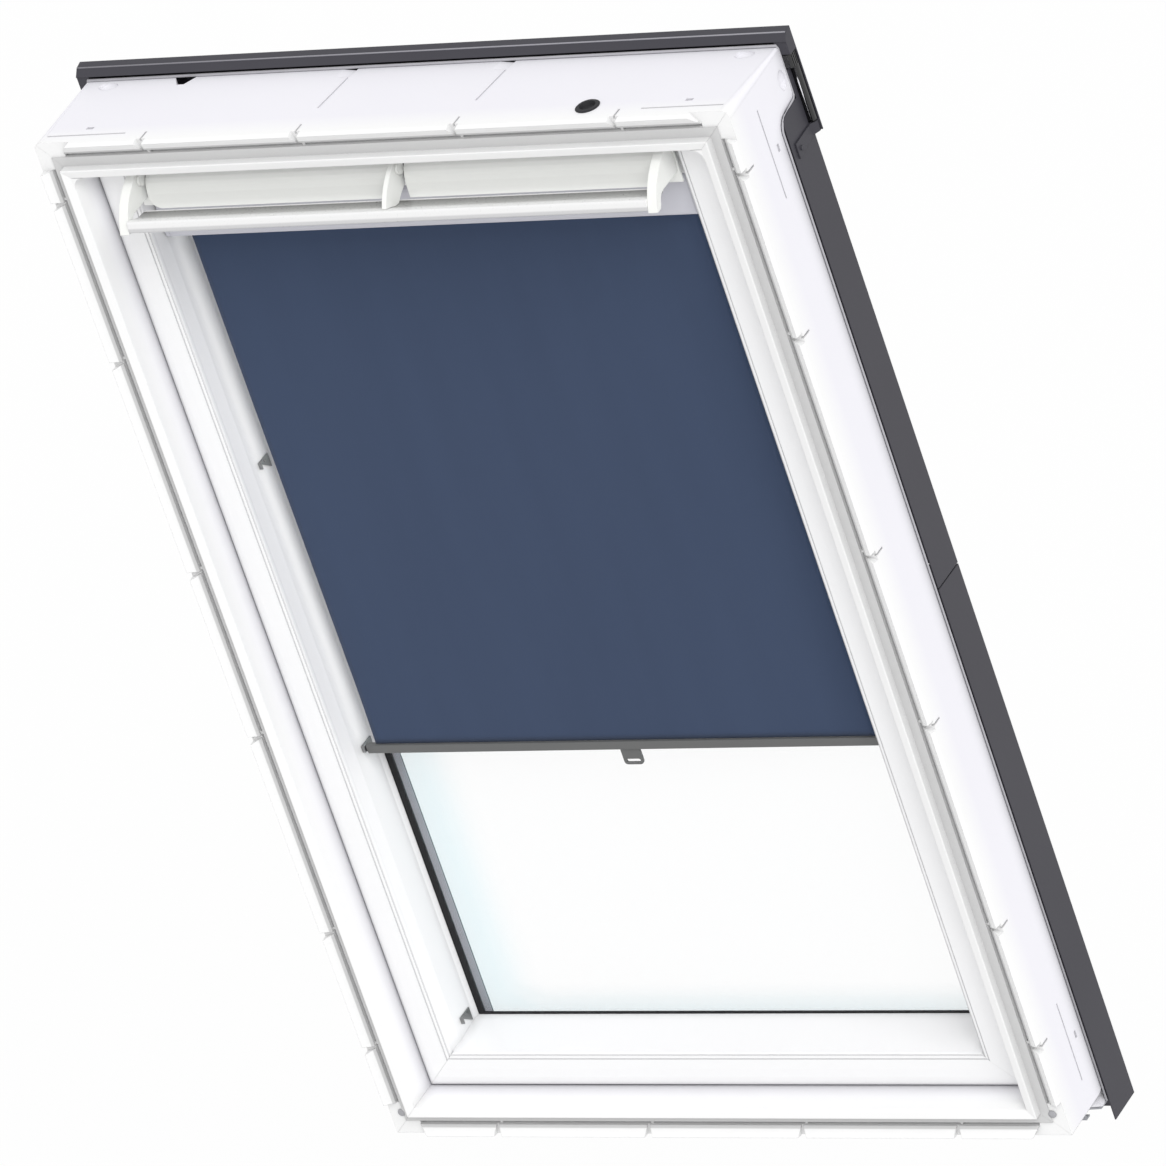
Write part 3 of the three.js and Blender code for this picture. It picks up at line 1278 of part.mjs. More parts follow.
// Pairs of hooks on the sash stiles hold the hem bar's ends at set heights
function makeHooks() {
  const { shares, lip, thick, crestUp, lipUp, lipBack, back, tail, lipTail } = HOOK;
  const { radius, high, behind, drop } = HOOK_SCREW;
  const tongueBack = BLIND.plane - lipBack;
  const far = BLIND.plane + back;
  for (const [name, side] of [['left', -1], ['right', 1]]) {
    const face = side * (WALL_HALF - SEAT);
    const sheet = face - side * thick;
    for (const [height, share] of Object.entries(shares)) {
      const rest = restUp(share);
      const plate = outline([
        [tongueBack - thick, rest + lipUp],
        [far, rest + crestUp],
        [far, rest - tail],
        [tongueBack + thick, rest + lipUp - thick * 2],
        [tongueBack - thick, rest + lipUp - thick * 2],
      ]);
      const tongue = block(tongueBack - thick, tongueBack, rest - lipTail, rest + lipUp);
      const tip = sheet - side * high;
      const screw = rodX(BLIND.plane + behind, rest - drop, radius, sheet + side * SEAT, tip, CURVE * 2);
      const hook = joined([alongX(plate, sheet, face), alongX(tongue, face - side * lip, face), screw]);
      part(`blind_hook_${height}_${name}`, hook, 'steel');
    }
  }
}

makeFrame();
makeFrameFittings();
makeUpperCover('left', -1);
makeUpperCover('right', 1);
makeHood();
makeHoodEnds();
makeStraps();
makePivots();
makeSash();
makeGlass();
makeSashCovers();
makeControlBar();
makeHingeRail();
makeFlap();
makeLatch();
makeCasing();
makeRoller();
makeCurtain();
makeHooks();

export default roofWindow;
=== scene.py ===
import json
import math

import bpy
from mathutils import Matrix, Vector


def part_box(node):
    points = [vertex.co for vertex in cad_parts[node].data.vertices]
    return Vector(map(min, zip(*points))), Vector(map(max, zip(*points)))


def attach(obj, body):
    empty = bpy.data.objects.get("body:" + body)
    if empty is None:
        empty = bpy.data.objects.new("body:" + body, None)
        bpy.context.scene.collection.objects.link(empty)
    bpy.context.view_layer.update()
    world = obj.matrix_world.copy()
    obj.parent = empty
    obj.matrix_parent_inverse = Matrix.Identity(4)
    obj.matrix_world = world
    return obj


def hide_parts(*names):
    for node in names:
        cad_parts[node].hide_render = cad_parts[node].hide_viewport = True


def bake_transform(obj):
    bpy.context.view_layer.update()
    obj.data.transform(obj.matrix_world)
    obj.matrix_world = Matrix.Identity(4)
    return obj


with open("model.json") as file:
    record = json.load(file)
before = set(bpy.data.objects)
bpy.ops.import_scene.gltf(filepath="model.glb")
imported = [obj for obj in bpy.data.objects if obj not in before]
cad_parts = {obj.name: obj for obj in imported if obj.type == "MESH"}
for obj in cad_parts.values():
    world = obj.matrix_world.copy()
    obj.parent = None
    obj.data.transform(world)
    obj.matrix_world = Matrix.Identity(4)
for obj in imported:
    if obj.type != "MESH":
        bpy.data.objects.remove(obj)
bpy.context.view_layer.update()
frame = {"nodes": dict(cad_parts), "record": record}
NODES = frame["nodes"]
MM = 0.001

# Places in the frame, read from the solids


def span(node):
    """Lowest and highest corner of a solid, in metres."""
    low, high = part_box(node)
    return Vector(low), Vector(high)


HEAD_LOW, HEAD_HIGH = span("frame_head")
JAMB_LOW, JAMB_HIGH = span("frame_jamb_right")
SILL_LOW, _ = span("frame_sill")
COVER_LOW, COVER_HIGH = span("upper_side_cover_right")
HOOD_LOW, HOOD_HIGH = span("top_hood")
CLOTH_LOW, CLOTH_HIGH = span("blind_fabric")
WOUND_LOW, WOUND_HIGH = span("wound_fabric")
TUBE_LOW, TUBE_HIGH = span("roller_tube")
BAR_LOW, BAR_HIGH = span("control_bar")
SPACER_LOW, SPACER_HIGH = span("glass_spacer")
GASKET_LOW, _ = span("glazing_gasket")
PANE_LOW, _ = span("inner_pane")
RIM_FACE = HEAD_LOW.y
SHOULDER_BELOW = 62 * MM
SHOULDER = JAMB_HIGH.z - SHOULDER_BELOW

# Camera, at the photograph's angle

CAMERA_AT = Vector((5.915, -8.345, 5.931))
CAMERA_FORWARD = Vector((-0.5113, 0.7259, -0.4601))
CAMERA_UP = Vector((0.0206, 0.5455, 0.8378))
CAMERA_LENS = 363.5
CAMERA_SENSOR = 36
CAMERA_REACH = 60


def place_camera():
    back = -CAMERA_FORWARD.normalized()
    right = CAMERA_UP.cross(back).normalized()
    up = back.cross(right)
    data = bpy.data.cameras.new("camera")
    data.lens = CAMERA_LENS
    data.sensor_width = CAMERA_SENSOR
    data.clip_end = CAMERA_REACH
    camera = bpy.data.objects.new("camera", data)
    camera.matrix_world = Matrix.Translation(CAMERA_AT) @ Matrix((right, up, back)).transposed().to_4x4()
    bpy.context.collection.objects.link(camera)
    bpy.context.scene.camera = camera


# Where the frame's painted shade changes, measured from its rim, its outer edge and its shoulder

SOFT = 0.8 * MM
SIDE_EDGE = 5 * MM
SHADE_START = 12 * MM
SHADE_RUN = 26 * MM
REBATE_FROM = 9.6 * MM
REBATE_TO = 26 * MM
REBATE_FRONT = 1.6 * MM
REBATE_BACK = 10.4 * MM
REBATE_SHADE = 0.3
ROLL_RUN = 26 * MM
ROLL_SHADE = 0.42
# Painted shade where surfaces stand close together: how far it reaches and how dark it goes
NOOK_REACH = 14 * MM
NOOK_SHADE = 0.4
BLACK = (0.0, 0.0, 0.0, 1.0)

# Grain of the finishes: scales per metre, heights of relief and softened edges

CLOUD_SCALE = 7.0
COAT_CLOUD_SCALE = 5.0
SKIN_SCALE = 900.0
PEEL_SCALE = 420.0
DUST_SCALE = 60.0
PORE_SCALE = 1500.0
SPANGLE_SCALE = 55.0
CELL_SCALE = 700.0
RIPPLE_SCALE = 4.0
STREAK_STRETCH = (30, 900, 900)
SLUB_STRETCH = (900, 900, 60)
BAND_STRETCH = (22, 22, 2.5)
SKIN_RELIEF = 0.02 * MM
PEEL_RELIEF = 0.03 * MM
PORE_RELIEF = 0.04 * MM
WEAVE_RELIEF = 0.06 * MM
CELL_RELIEF = 0.4 * MM
WEAVE_PITCH = 0.9 * MM
MOULDED_EDGE = 0.8 * MM
COATED_EDGE = 0.7 * MM
PRESSED_EDGE = 1.2 * MM
RUBBER_EDGE = 0.5 * MM
METAL_EDGE = 0.4 * MM
FOAM_EDGE = 0.3 * MM
WEAVE_EDGE = 0.2 * MM
SHELTER_SAMPLES = 4
BEVEL_SAMPLES = 4

# Shader sums. A Wire stands for one output socket and takes part in Python expressions.


class Wire:
    def __init__(self, tree, socket):
        self.tree = tree
        self.socket = socket

    def math(self, operation, *others):
        node = self.tree.nodes.new("ShaderNodeMath")
        node.operation = operation
        for slot, value in zip(node.inputs, others):
            if isinstance(value, Wire):
                self.tree.links.new(value.socket, slot)
            else:
                slot.default_value = value
        return Wire(self.tree, node.outputs[0])

    def __add__(self, other):
        return self.math("ADD", self, other)

    def __radd__(self, other):
        return self.math("ADD", other, self)

    def __sub__(self, other):
        return self.math("SUBTRACT", self, other)

    def __rsub__(self, other):
        return self.math("SUBTRACT", other, self)

    def __mul__(self, other):
        return self.math("MULTIPLY", self, other)

    def __rmul__(self, other):
        return self.math("MULTIPLY", other, self)

    def __truediv__(self, other):
        return self.math("DIVIDE", self, other)

    def sine(self):
        return self.math("SINE", self)

    def clipped(self):
        return self.math("MAXIMUM", self.math("MINIMUM", self, 1), 0)

    def size(self):
        return self.math("ABSOLUTE", self)

    def least(self, other):
        return self.math("MINIMUM", self, other)

    def past(self, start, run):
        """0 up to start, rising to 1 over the run."""
        return ((self - start) / run).clipped()

    def within(self, start, end, soft):
        return self.past(start - soft, soft) * (1 - self.past(end, soft))


class Finish:
    """One material, built up node by node."""

    def __init__(self, name):
        self.material = bpy.data.materials.new(name)
        self.material.use_nodes = True
        self.tree = self.material.node_tree
        self.surface = self.tree.nodes["Principled BSDF"]

    def node(self, kind, settings, inputs, output=0):
        made = self.tree.nodes.new(kind)
        for key, value in settings.items():
            setattr(made, key, value)
        for key, value in inputs.items():
            self.feed(made.inputs[key], value)
        return Wire(self.tree, made.outputs[output])

    def feed(self, slot, value):
        if isinstance(value, Wire):
            self.tree.links.new(value.socket, slot)
        else:
            slot.default_value = value

    def place(self):
        return self.node("ShaderNodeTexCoord", {}, {}, "Object")

    def axes(self):
        apart = self.tree.nodes.new("ShaderNodeSeparateXYZ")
        self.tree.links.new(self.place().socket, apart.inputs[0])
        return [Wire(self.tree, socket) for socket in apart.outputs]

    def noise(self, scale, detail=2.0, rough=0.5, at=None):
        return self.node("ShaderNodeTexNoise", {}, {
            "Vector": at or self.place(), "Scale": scale, "Detail": detail, "Roughness": rough})

    def stretched(self, scale):
        return self.node("ShaderNodeVectorMath", {"operation": "MULTIPLY"}, {0: self.place(), 1: scale})

    def blend(self, share, first, second):
        mixer = self.tree.nodes.new("ShaderNodeMix")
        mixer.data_type = "RGBA"
        for key, value in ((0, share), (6, first), (7, second)):
            self.feed(mixer.inputs[key], value)
        return Wire(self.tree, mixer.outputs[2])

    def shelter(self, reach, strength):
        """1 out in the open, lower where other surfaces stand close by."""
        settings = {"samples": SHELTER_SAMPLES}
        open_share = self.node("ShaderNodeAmbientOcclusion", settings, {"Distance": reach}, "AO")
        return 1 - (1 - open_share) * strength

    def bump(self, height, depth, soften):
        base = self.node("ShaderNodeBevel", {"samples": BEVEL_SAMPLES}, {"Radius": soften})
        return self.node("ShaderNodeBump", {}, {
            "Strength": 1.0, "Distance": depth, "Height": height, "Normal": base})

    def dress(self, **values):
        for key, value in values.items():
            self.feed(self.surface.inputs[key.replace("_", " ")], value)
        return self.material


# Colours and finishes

EYE_FULL = 255
EYE_KNEE = 0.04045
EYE_SLOPE = 12.92
EYE_LIFT = 0.055
EYE_POWER = 2.4


def linear(red, green, blue):
    """A colour as the eye reads it, from 0 to 255, in the renderer's linear values."""

    def curve(value):
        value /= EYE_FULL
        if value <= EYE_KNEE:
            return value / EYE_SLOPE
        return ((value + EYE_LIFT) / (1 + EYE_LIFT)) ** EYE_POWER

    return curve(red), curve(green), curve(blue), 1.0


def shaded(colour, factor):
    return tuple(channel * factor for channel in colour[:3]) + (1.0,)


def frame_painted_shade(it, colour, deep):
    """Painted shade on the frame: white at the rim and the lips, a painted lilac shade on the outer
    faces further back, deeper painted shade in the lining rebate and where the outer faces roll over
    towards the cladding."""
    across, outward, up = it.axes()
    depth = outward - RIM_FACE
    inset = (JAMB_HIGH.x - across.size()).least(HEAD_HIGH.z - up).least(up)
    # Masks of painted shade: the lining rebate, and the outer faces below the shoulder where they roll
    # over
    rebate = inset.within(REBATE_FROM, REBATE_TO, SOFT) * depth.within(REBATE_FRONT, REBATE_BACK, SOFT)
    outer = 1 - (JAMB_HIGH.x - across.size()).past(SIDE_EDGE, SOFT)
    below = 1 - up.past(SHOULDER - ROLL_RUN, ROLL_RUN)
    roll = depth.past(COVER_LOW.y - RIM_FACE - ROLL_RUN, ROLL_RUN)
    # Painted shade: lilac towards the back of the outer faces, darker in the rebate and on the roll-over
    tone = it.blend(depth.past(SHADE_START, SHADE_RUN), colour, deep)
    tone = it.blend(rebate * REBATE_SHADE, tone, BLACK)
    return it.blend(outer * below * roll * roll * ROLL_SHADE, tone, BLACK)


CLOUDING = 0.03
SKIN_ROUGHNESS = 0.06


def moulded(name, colour, rough, gloss=0.3, clouding=CLOUDING, deep=None, nook_shade=0.0):
    """Moulded plastic: faint clouding of the tone, a fine skin grain and softened edges. Where given,
    deep lays the frame's painted shade over the tone, and a share of painted shade darkens it where
    other surfaces stand close by.
    """
    it = Finish(name)
    cloud = it.noise(CLOUD_SCALE, 3.0)
    skin = it.noise(SKIN_SCALE)
    tone = frame_painted_shade(it, colour, deep) if deep else colour
    if nook_shade:
        # Painted shade: darker where other surfaces stand close by
        tone = it.blend(it.shelter(NOOK_REACH, nook_shade), shaded(colour, NOOK_SHADE), tone)
    return it.dress(
        Base_Color=it.blend(cloud * clouding, tone, BLACK),
        Roughness=rough + SKIN_ROUGHNESS * skin,
        Normal=it.bump(skin, SKIN_RELIEF, MOULDED_EDGE),
        Specular_IOR_Level=gloss,
    )


COAT_TONES = (1.05, 0.93)
CLOUD_ROUGHNESS = 0.08
PEEL_ROUGHNESS = 0.04


def coated(name, colour, rough, gloss=0.35, soften=COATED_EDGE):
    """Coated sheet metal: a light orange-peel skin and slow changes of tone."""
    it = Finish(name)
    cloud = it.noise(COAT_CLOUD_SCALE, 3.0)
    peel = it.noise(PEEL_SCALE)
    return it.dress(
        Base_Color=it.blend(cloud, *(shaded(colour, tone) for tone in COAT_TONES)),
        Roughness=rough + CLOUD_ROUGHNESS * cloud + PEEL_ROUGHNESS * peel,
        Metallic=0.0,
        Normal=it.bump(peel, PEEL_RELIEF, soften),
        Specular_IOR_Level=gloss,
    )


# Painted shade and reflection across the control bar's profile: light at the nose, darker over the
# hollow crown, darkest behind it, light at the rear edge; under is the painted shade of the lower face
BAR_PAINTED_LIGHT = {
    "rear": linear(242, 242, 242),
    "dark": linear(120, 120, 119),
    "crown": linear(168, 168, 167),
    "nose": linear(238, 238, 238),
    "under": linear(206, 206, 207),
}
BAR_LIGHT_STOPS = (
    (0.0, "nose"),
    (0.24, "nose"),
    (0.62, "crown"),
    (0.88, "dark"),
    (0.93, "dark"),
    (0.97, "rear"),
)
BAR_FACE_END = (0.1, 0.05)
BAR_FACE_TOP = (0.4, 0.14)
BAR_UNDER_TOP = (0.08, 0.04)


def bar_lacquer():
    """White lacquer on the control bar, with painted shade and reflection across its profile: darker
    over its hollow crown, light at its nose and rear edge, greyer on its lower face.
    """
    it = Finish("bar lacquer, white")
    _, outward, up = it.axes()
    share = (outward - BAR_LOW.y) / (BAR_HIGH.y - BAR_LOW.y)
    ramp = it.tree.nodes.new("ShaderNodeValToRGB")
    stops = ramp.color_ramp.elements
    while len(stops) < len(BAR_LIGHT_STOPS):
        stops.new(0.5)
    for stop, (at, tone) in zip(stops, BAR_LIGHT_STOPS):
        stop.position = at
        stop.color = BAR_PAINTED_LIGHT[tone]
    it.feed(ramp.inputs[0], share)
    crown = Wire(it.tree, ramp.outputs[0])
    height = (up - BAR_LOW.z) / (BAR_HIGH.z - BAR_LOW.z)
    face = (1 - share.past(*BAR_FACE_END)) * (1 - height.past(*BAR_FACE_TOP))
    below = (face + (1 - height.past(*BAR_UNDER_TOP))).clipped()
    peel = it.noise(PEEL_SCALE)
    return it.dress(
        # Painted shade: the lower face takes the greyer under tone
        Base_Color=it.blend(below, crown, BAR_PAINTED_LIGHT["under"]),
        Roughness=0.26 + PEEL_ROUGHNESS * peel,
        Normal=it.bump(peel, SKIN_RELIEF, PRESSED_EDGE),
        Specular_IOR_Level=0.5,
    )


DUST_TONES = (0.9, 1.15)
GASKET_TONES = (0.3, 0.6)
DUST_ROUGHNESS = 0.12


def dusty_with_sill_light(it, colour, tones, rough, sill=None):
    """Rubber with a breath of dust and fine pores. The sill mask, where given, greys its lower edge as
    painted light.
    """
    dust = it.noise(DUST_SCALE, 4.0, 0.6)
    pores = it.noise(PORE_SCALE)
    tone = it.blend(dust, *(shaded(colour, factor) for factor in tones))
    if sill:
        # Painted light: the sill edge lightens to grey
        tone = it.blend(sill, tone, COLOURS["gasket sill light"])
    return it.dress(
        Base_Color=tone,
        Roughness=rough + DUST_ROUGHNESS * dust,
        Normal=it.bump(pores, PORE_RELIEF, RUBBER_EDGE),
        Specular_IOR_Level=0.3,
    )


def rubber(name, colour, rough=0.6):
    """Plain rubber or soft plastic."""
    return dusty_with_sill_light(Finish(name), colour, DUST_TONES, rough)


SPANGLE_TONES = (1.08, 0.86)
STREAK_ROUGHNESS = 0.15


def galvanised(name, colour, rough):
    """Galvanised steel, spangled and streaked along the piece."""
    it = Finish(name)
    streaks = it.noise(1.0, 4.0, 0.6, at=it.stretched(STREAK_STRETCH))
    spangle = it.noise(SPANGLE_SCALE)
    return it.dress(
        Base_Color=it.blend(spangle, *(shaded(colour, tone) for tone in SPANGLE_TONES)),
        Metallic=1.0,
        Roughness=rough + STREAK_ROUGHNESS * streaks,
        Normal=it.bump(streaks, SKIN_RELIEF, METAL_EDGE),
    )


SEAL_FRONT = 2.2 * MM
SEAL_BACK = 1.6 * MM
SEAL_EDGE = 0.3 * MM
ROLLED_PITCH = 2.6 * MM
ROLLED_TONES = (0.8, 1.15)
SEAL_TONE = 0.9


def spacer_metal():
    """Dull spacer bar with fine lengthwise rolling lines and the dark seal against both panes."""
    it = Finish("spacer bar, dull metal")
    _, outward, _ = it.axes()
    lines = (outward * (math.tau / ROLLED_PITCH)).sine() * 0.5 + 0.5
    front = 1 - (outward - SPACER_LOW.y).past(SEAL_FRONT, SEAL_EDGE)
    back = (outward - SPACER_HIGH.y).past(-SEAL_BACK, SEAL_EDGE)
    tone = it.blend(lines, *(shaded(COLOURS["spacer"], factor) for factor in ROLLED_TONES))
    return it.dress(
        Base_Color=it.blend((front + back).clipped(), tone, shaded(COLOURS["rubber"], SEAL_TONE)),
        Roughness=0.5 + 0.1 * lines,
        Specular_IOR_Level=0.3,
    )


GASKET_LIT_EDGE = 24 * MM


def gasket_rubber():
    """Black gasket with a breath of dust, painted lighter grey along the sill where the light falls on
    it: painted light.
    """
    it = Finish("gasket rubber, black")
    _, _, up = it.axes()
    # Painted light along the sill
    sill = 1 - (up - GASKET_LOW.z).past(GASKET_LIT_EDGE, MM)
    return dusty_with_sill_light(it, COLOURS["rubber"], GASKET_TONES, 0.55, sill)


WEAVE_SHARE = 0.25
SLUB_SHARE = 0.3
BAND_SHARE = 0.45
WEAVE_TONES = (0.86, 1.14)
SLUB_HEIGHT = 0.6


def woven(name, colour):
    """Tight plain weave, with slubs and slow tonal bands along the warp."""
    it = Finish(name)
    across, _, up = it.axes()
    turn = math.tau / WEAVE_PITCH
    weave = (across * turn).sine() * (up * turn).sine() * 0.5 + 0.5
    slubs = it.noise(1.0, 3.0, 0.6, at=it.stretched(SLUB_STRETCH))
    bands = it.noise(1.0, 2.0, 0.5, at=it.stretched(BAND_STRETCH))
    tone = (weave * WEAVE_SHARE + slubs * SLUB_SHARE + bands * BAND_SHARE).clipped()
    return it.dress(
        Base_Color=it.blend(tone, *(shaded(colour, factor) for factor in WEAVE_TONES)),
        Roughness=0.86 + 0.1 * slubs,
        Normal=it.bump(weave + slubs * SLUB_HEIGHT, WEAVE_RELIEF, WEAVE_EDGE),
        Specular_IOR_Level=0.12,
        Sheen_Weight=0.08,
        Sheen_Roughness=0.5,
    )


CELL_TONES = (0.55, 1.2)


def foamed(name, colour):
    """Open-cell foam, dark in its cells."""
    it = Finish(name)
    cells = it.node("ShaderNodeTexVoronoi", {}, {"Vector": it.place(), "Scale": CELL_SCALE}, "Distance")
    return it.dress(
        Base_Color=it.blend(cells.clipped(), *(shaded(colour, tone) for tone in CELL_TONES)),
        Roughness=0.95,
        Normal=it.bump(cells, CELL_RELIEF, FOAM_EDGE),
        Specular_IOR_Level=0.1,
    )


BAND_LEFT = 95 * MM
BAND_LOW = 50 * MM
BAND_FLAT = 0.6
PANE_VEIL = 0.02
BAND_VEIL = 0.06
RIPPLE_VEIL = 0.01
PANE_ROUGHNESS = 0.02
TINT = linear(196, 243, 253)
CLEAR = linear(250, 253, 254)


def clear_glass():
    """Clear pane with a pale blue tint towards its left and lower edges."""
    it = Finish("clear pane")
    across, _, up = it.axes()
    left = 1 - (across - PANE_LOW.x).past(BAND_LEFT * BAND_FLAT, BAND_LEFT * (1 - BAND_FLAT))
    low = 1 - (up - PANE_LOW.z).past(BAND_LOW * BAND_FLAT, BAND_LOW * (1 - BAND_FLAT))
    edge = (left + low).clipped()
    ripple = it.noise(RIPPLE_SCALE, 1.0)
    return it.dress(
        Base_Color=it.blend(edge, CLEAR, TINT),
        Alpha=PANE_VEIL + BAND_VEIL * edge + RIPPLE_VEIL * ripple,
        Roughness=PANE_ROUGHNESS + PANE_ROUGHNESS * ripple,
        Specular_IOR_Level=0.5,
    )


COLOURS = {
    "frame": linear(247, 247, 247),
    # Painted lilac shade for the frame's outer faces, blended in towards their back
    "frame side shade": linear(239, 238, 244),
    "sash": linear(249, 249, 250),
    "cream": linear(243, 244, 241),
    "cladding": linear(60, 59, 66),
    "black": linear(5, 5, 7),
    "rubber": linear(42, 42, 45),
    # Painted light on the gasket along the sill
    "gasket sill light": linear(150, 150, 153),
    "grey rubber": linear(150, 151, 156),
    "spacer": linear(156, 144, 150),
    "steel": linear(154, 155, 155),
    "casing": linear(206, 206, 214),
    "cloth": linear(61, 74, 99),
    "hem": linear(101, 102, 102),
    "foam": linear(110, 112, 113),
    "trim": linear(176, 175, 180),
    # Painted highlight along the hood's fold
    "fold": linear(150, 149, 156),
    # Painted glint on the rounded strip under the hood's end
    "strip edge": linear(236, 236, 240),
    "plug": linear(168, 168, 172),
}

MATERIALS = {
    # Frame and sash whites carry painted shade in their nooks; the frame also its painted shade towards
    # the back
    "frame_white": moulded(
        "frame skin, white", COLOURS["frame"], 0.42, deep=COLOURS["frame side shade"], nook_shade=0.55
    ),
    "sash_white": moulded("sash skin, white", COLOURS["sash"], 0.36, nook_shade=0.5),
    "flap_cream": moulded("flap plastic, cream", COLOURS["cream"], 0.4),
    "cladding": coated("cladding coat, dark grey", COLOURS["cladding"], 0.46),
    "black_gloss": moulded("end plug plastic, black", COLOURS["black"], 0.09, gloss=0.7, clouding=0.0),
    "black_rubber": rubber("fitting rubber, black", COLOURS["rubber"]),
    "grey_rubber": rubber("seal rubber, grey", COLOURS["grey rubber"]),
    "glass": clear_glass(),
    "spacer": spacer_metal(),
    "steel": galvanised("fittings, galvanised", COLOURS["steel"], 0.32),
    "bar_lacquer": bar_lacquer(),
    "casing": coated(
        "casing lacquer, silver grey", COLOURS["casing"], 0.36, gloss=0.4, soften=PRESSED_EDGE
    ),
    "fabric": woven("blind cloth, dark blue", COLOURS["cloth"]),
    "hem_bar": coated("hem bar coat, grey", COLOURS["hem"], 0.4),
    "foam": foamed("filter foam, grey", COLOURS["foam"]),
}
TRIM = rubber("edge trim, light grey", COLOURS["trim"], 0.5)
# Painted glint on the rounded strip under the hood's end
STRIP_GLINT = coated("painted glint, strip edge", COLOURS["strip edge"], 0.3)
# The corner skin carries the frame's painted shade as well
CORNER = moulded("corner skin, white", COLOURS["frame"], 0.42, deep=COLOURS["frame side shade"])
PLUG = rubber("corner plug, grey", COLOURS["plug"], 0.5)
# Painted highlight on the hood's fold
FOLD_GLINT = coated("painted highlight, hood fold", COLOURS["fold"], 0.4)
GASKET = gasket_rubber()


def dress_nodes():
    """Each solid gets its slot's material, and the glazing gasket one of its own."""
    for row in frame["record"]["subparts"]:
        data = NODES[row["node"]].data
        data.materials.clear()
        own = row["node"] == "glazing_gasket"
        data.materials.append(GASKET if own else MATERIALS[row["material_slot"]])


# Pieces that the looks add


def piece(name, points, faces, material, smooth=True):
    data = bpy.data.meshes.new(name)
    data.from_pydata([tuple(point) for point in points], [], faces)
    data.validate()
    data.materials.append(material)
    data.polygons.foreach_set("use_smooth", [smooth] * len(data.polygons))
    data.update()
    made = bpy.data.objects.new(name, data)
    bpy.context.collection.objects.link(made)
    return made


def sheet_mesh(columns, rows, place, thick):
    """A cloth of two skins joined round its rim. place(u, v) gives the middle surface."""
    points = []
    for side in (-0.5, 0.5):
        for j in range(rows + 1):
            for i in range(columns + 1):
                x, y, z = place(i / columns, j / rows)
                points.append((x, y + side * thick, z))
    wide = columns + 1
    layer = wide * (rows + 1)
    faces = []
    for j in range(rows):
        for i in range(columns):
            a = j * wide + i
            faces.append((a, a + 1, a + wide + 1, a + wide))
            faces.append((layer + a, layer + a + wide, layer + a + wide + 1, layer + a + 1))
    for i in range(columns):
        top = rows * wide + i
        faces.append((i, layer + i, layer + i + 1, i + 1))
        faces.append((top, top + 1, layer + top + 1, layer + top))
    for j in range(rows):
        left = j * wide
        right = left + columns
        faces.append((left, left + wide, layer + left + wide, layer + left))
        faces.append((right, layer + right, layer + right + wide, right + wide))
    return points, faces


TUBE_GUIDE = Vector((0, 1, 0))
NEARLY_ALONG = 0.95


def tube(name, path, radii, material, sides=10):
    """A closed tube swept along a path, with a radius for each of its points."""
    points = []
    faces = []
    last = len(path) - 1
    for k, at in enumerate(path):
        along = (path[min(k + 1, last)] - path[max(k - 1, 0)]).normalized()
        turned = abs(along.dot(TUBE_GUIDE)) > NEARLY_ALONG
        first = along.orthogonal() if turned else along.cross(TUBE_GUIDE)
        first.normalize()
        if k and first.dot(former) < 0:
            first = -first
        former = first
        second = along.cross(first)
        for s in range(sides):
            turn = math.tau * s / sides
            points.append(at + radii[k] * (math.cos(turn) * first + math.sin(turn) * second))
    for k in range(last):
        for s in range(sides):
            a = k * sides + s
            b = k * sides + (s + 1) % sides
            faces.append((a, b, b + sides, a + sides))
    faces.append(tuple(range(sides - 1, -1, -1)))
    faces.append(tuple(last * sides + s for s in range(sides)))
    return piece(name, points, faces, material)


CLOTH_THICK = 0.5 * MM
CLOTH_COLUMNS = 96
CLOTH_ROWS = 84
EDGE_CURL = 1.6 * MM
EDGE_WIDE = 16 * MM
WAVE = 0.35 * MM
HELD_SHARE = 0.12
RIGHT_CURL = 0.6
CURL_SWAY = (0.7, 0.3, 5, 1)
LONG_WAVE = (11, 2)
SHORT_WAVE = (27, 3)
SHORT_WAVE_SHARE = 0.6


def cloth_place(u, v):
    """The drawn cloth, nearly flat, its side edges curling a little and a slow wave across it."""
    x = CLOTH_LOW.x + u * (CLOTH_HIGH.x - CLOTH_LOW.x)
    z = CLOTH_LOW.z + v * (CLOTH_HIGH.z - CLOTH_LOW.z)
    middle = (CLOTH_LOW.y + CLOTH_HIGH.y) / 2
    held = math.sin(math.pi * min(v / HELD_SHARE, 1) / 2)
    left = math.exp(-((x - CLOTH_LOW.x) / EDGE_WIDE) ** 2)
    right = math.exp(-((CLOTH_HIGH.x - x) / EDGE_WIDE) ** 2)
    least, sway, turns, start = CURL_SWAY
    curl = EDGE_CURL * (left + RIGHT_CURL * right) * (least + sway * math.sin(turns * v + start))
    slow = math.sin(LONG_WAVE[0] * u + LONG_WAVE[1] * v)
    quick = math.sin(SHORT_WAVE[0] * u - SHORT_WAVE[1] * v)
    wave = WAVE * (slow + SHORT_WAVE_SHARE * quick)
    return x, middle + held * (curl + wave), z


def make_cloth():
    points, faces = sheet_mesh(CLOTH_COLUMNS, CLOTH_ROWS, cloth_place, CLOTH_THICK)
    cloth = piece("drawn_blind_cloth", points, faces, MATERIALS["fabric"])
    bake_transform(cloth)
    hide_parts("blind_fabric")


WOUND_GAP = 0.05 * MM
WOUND_SIDES = 28


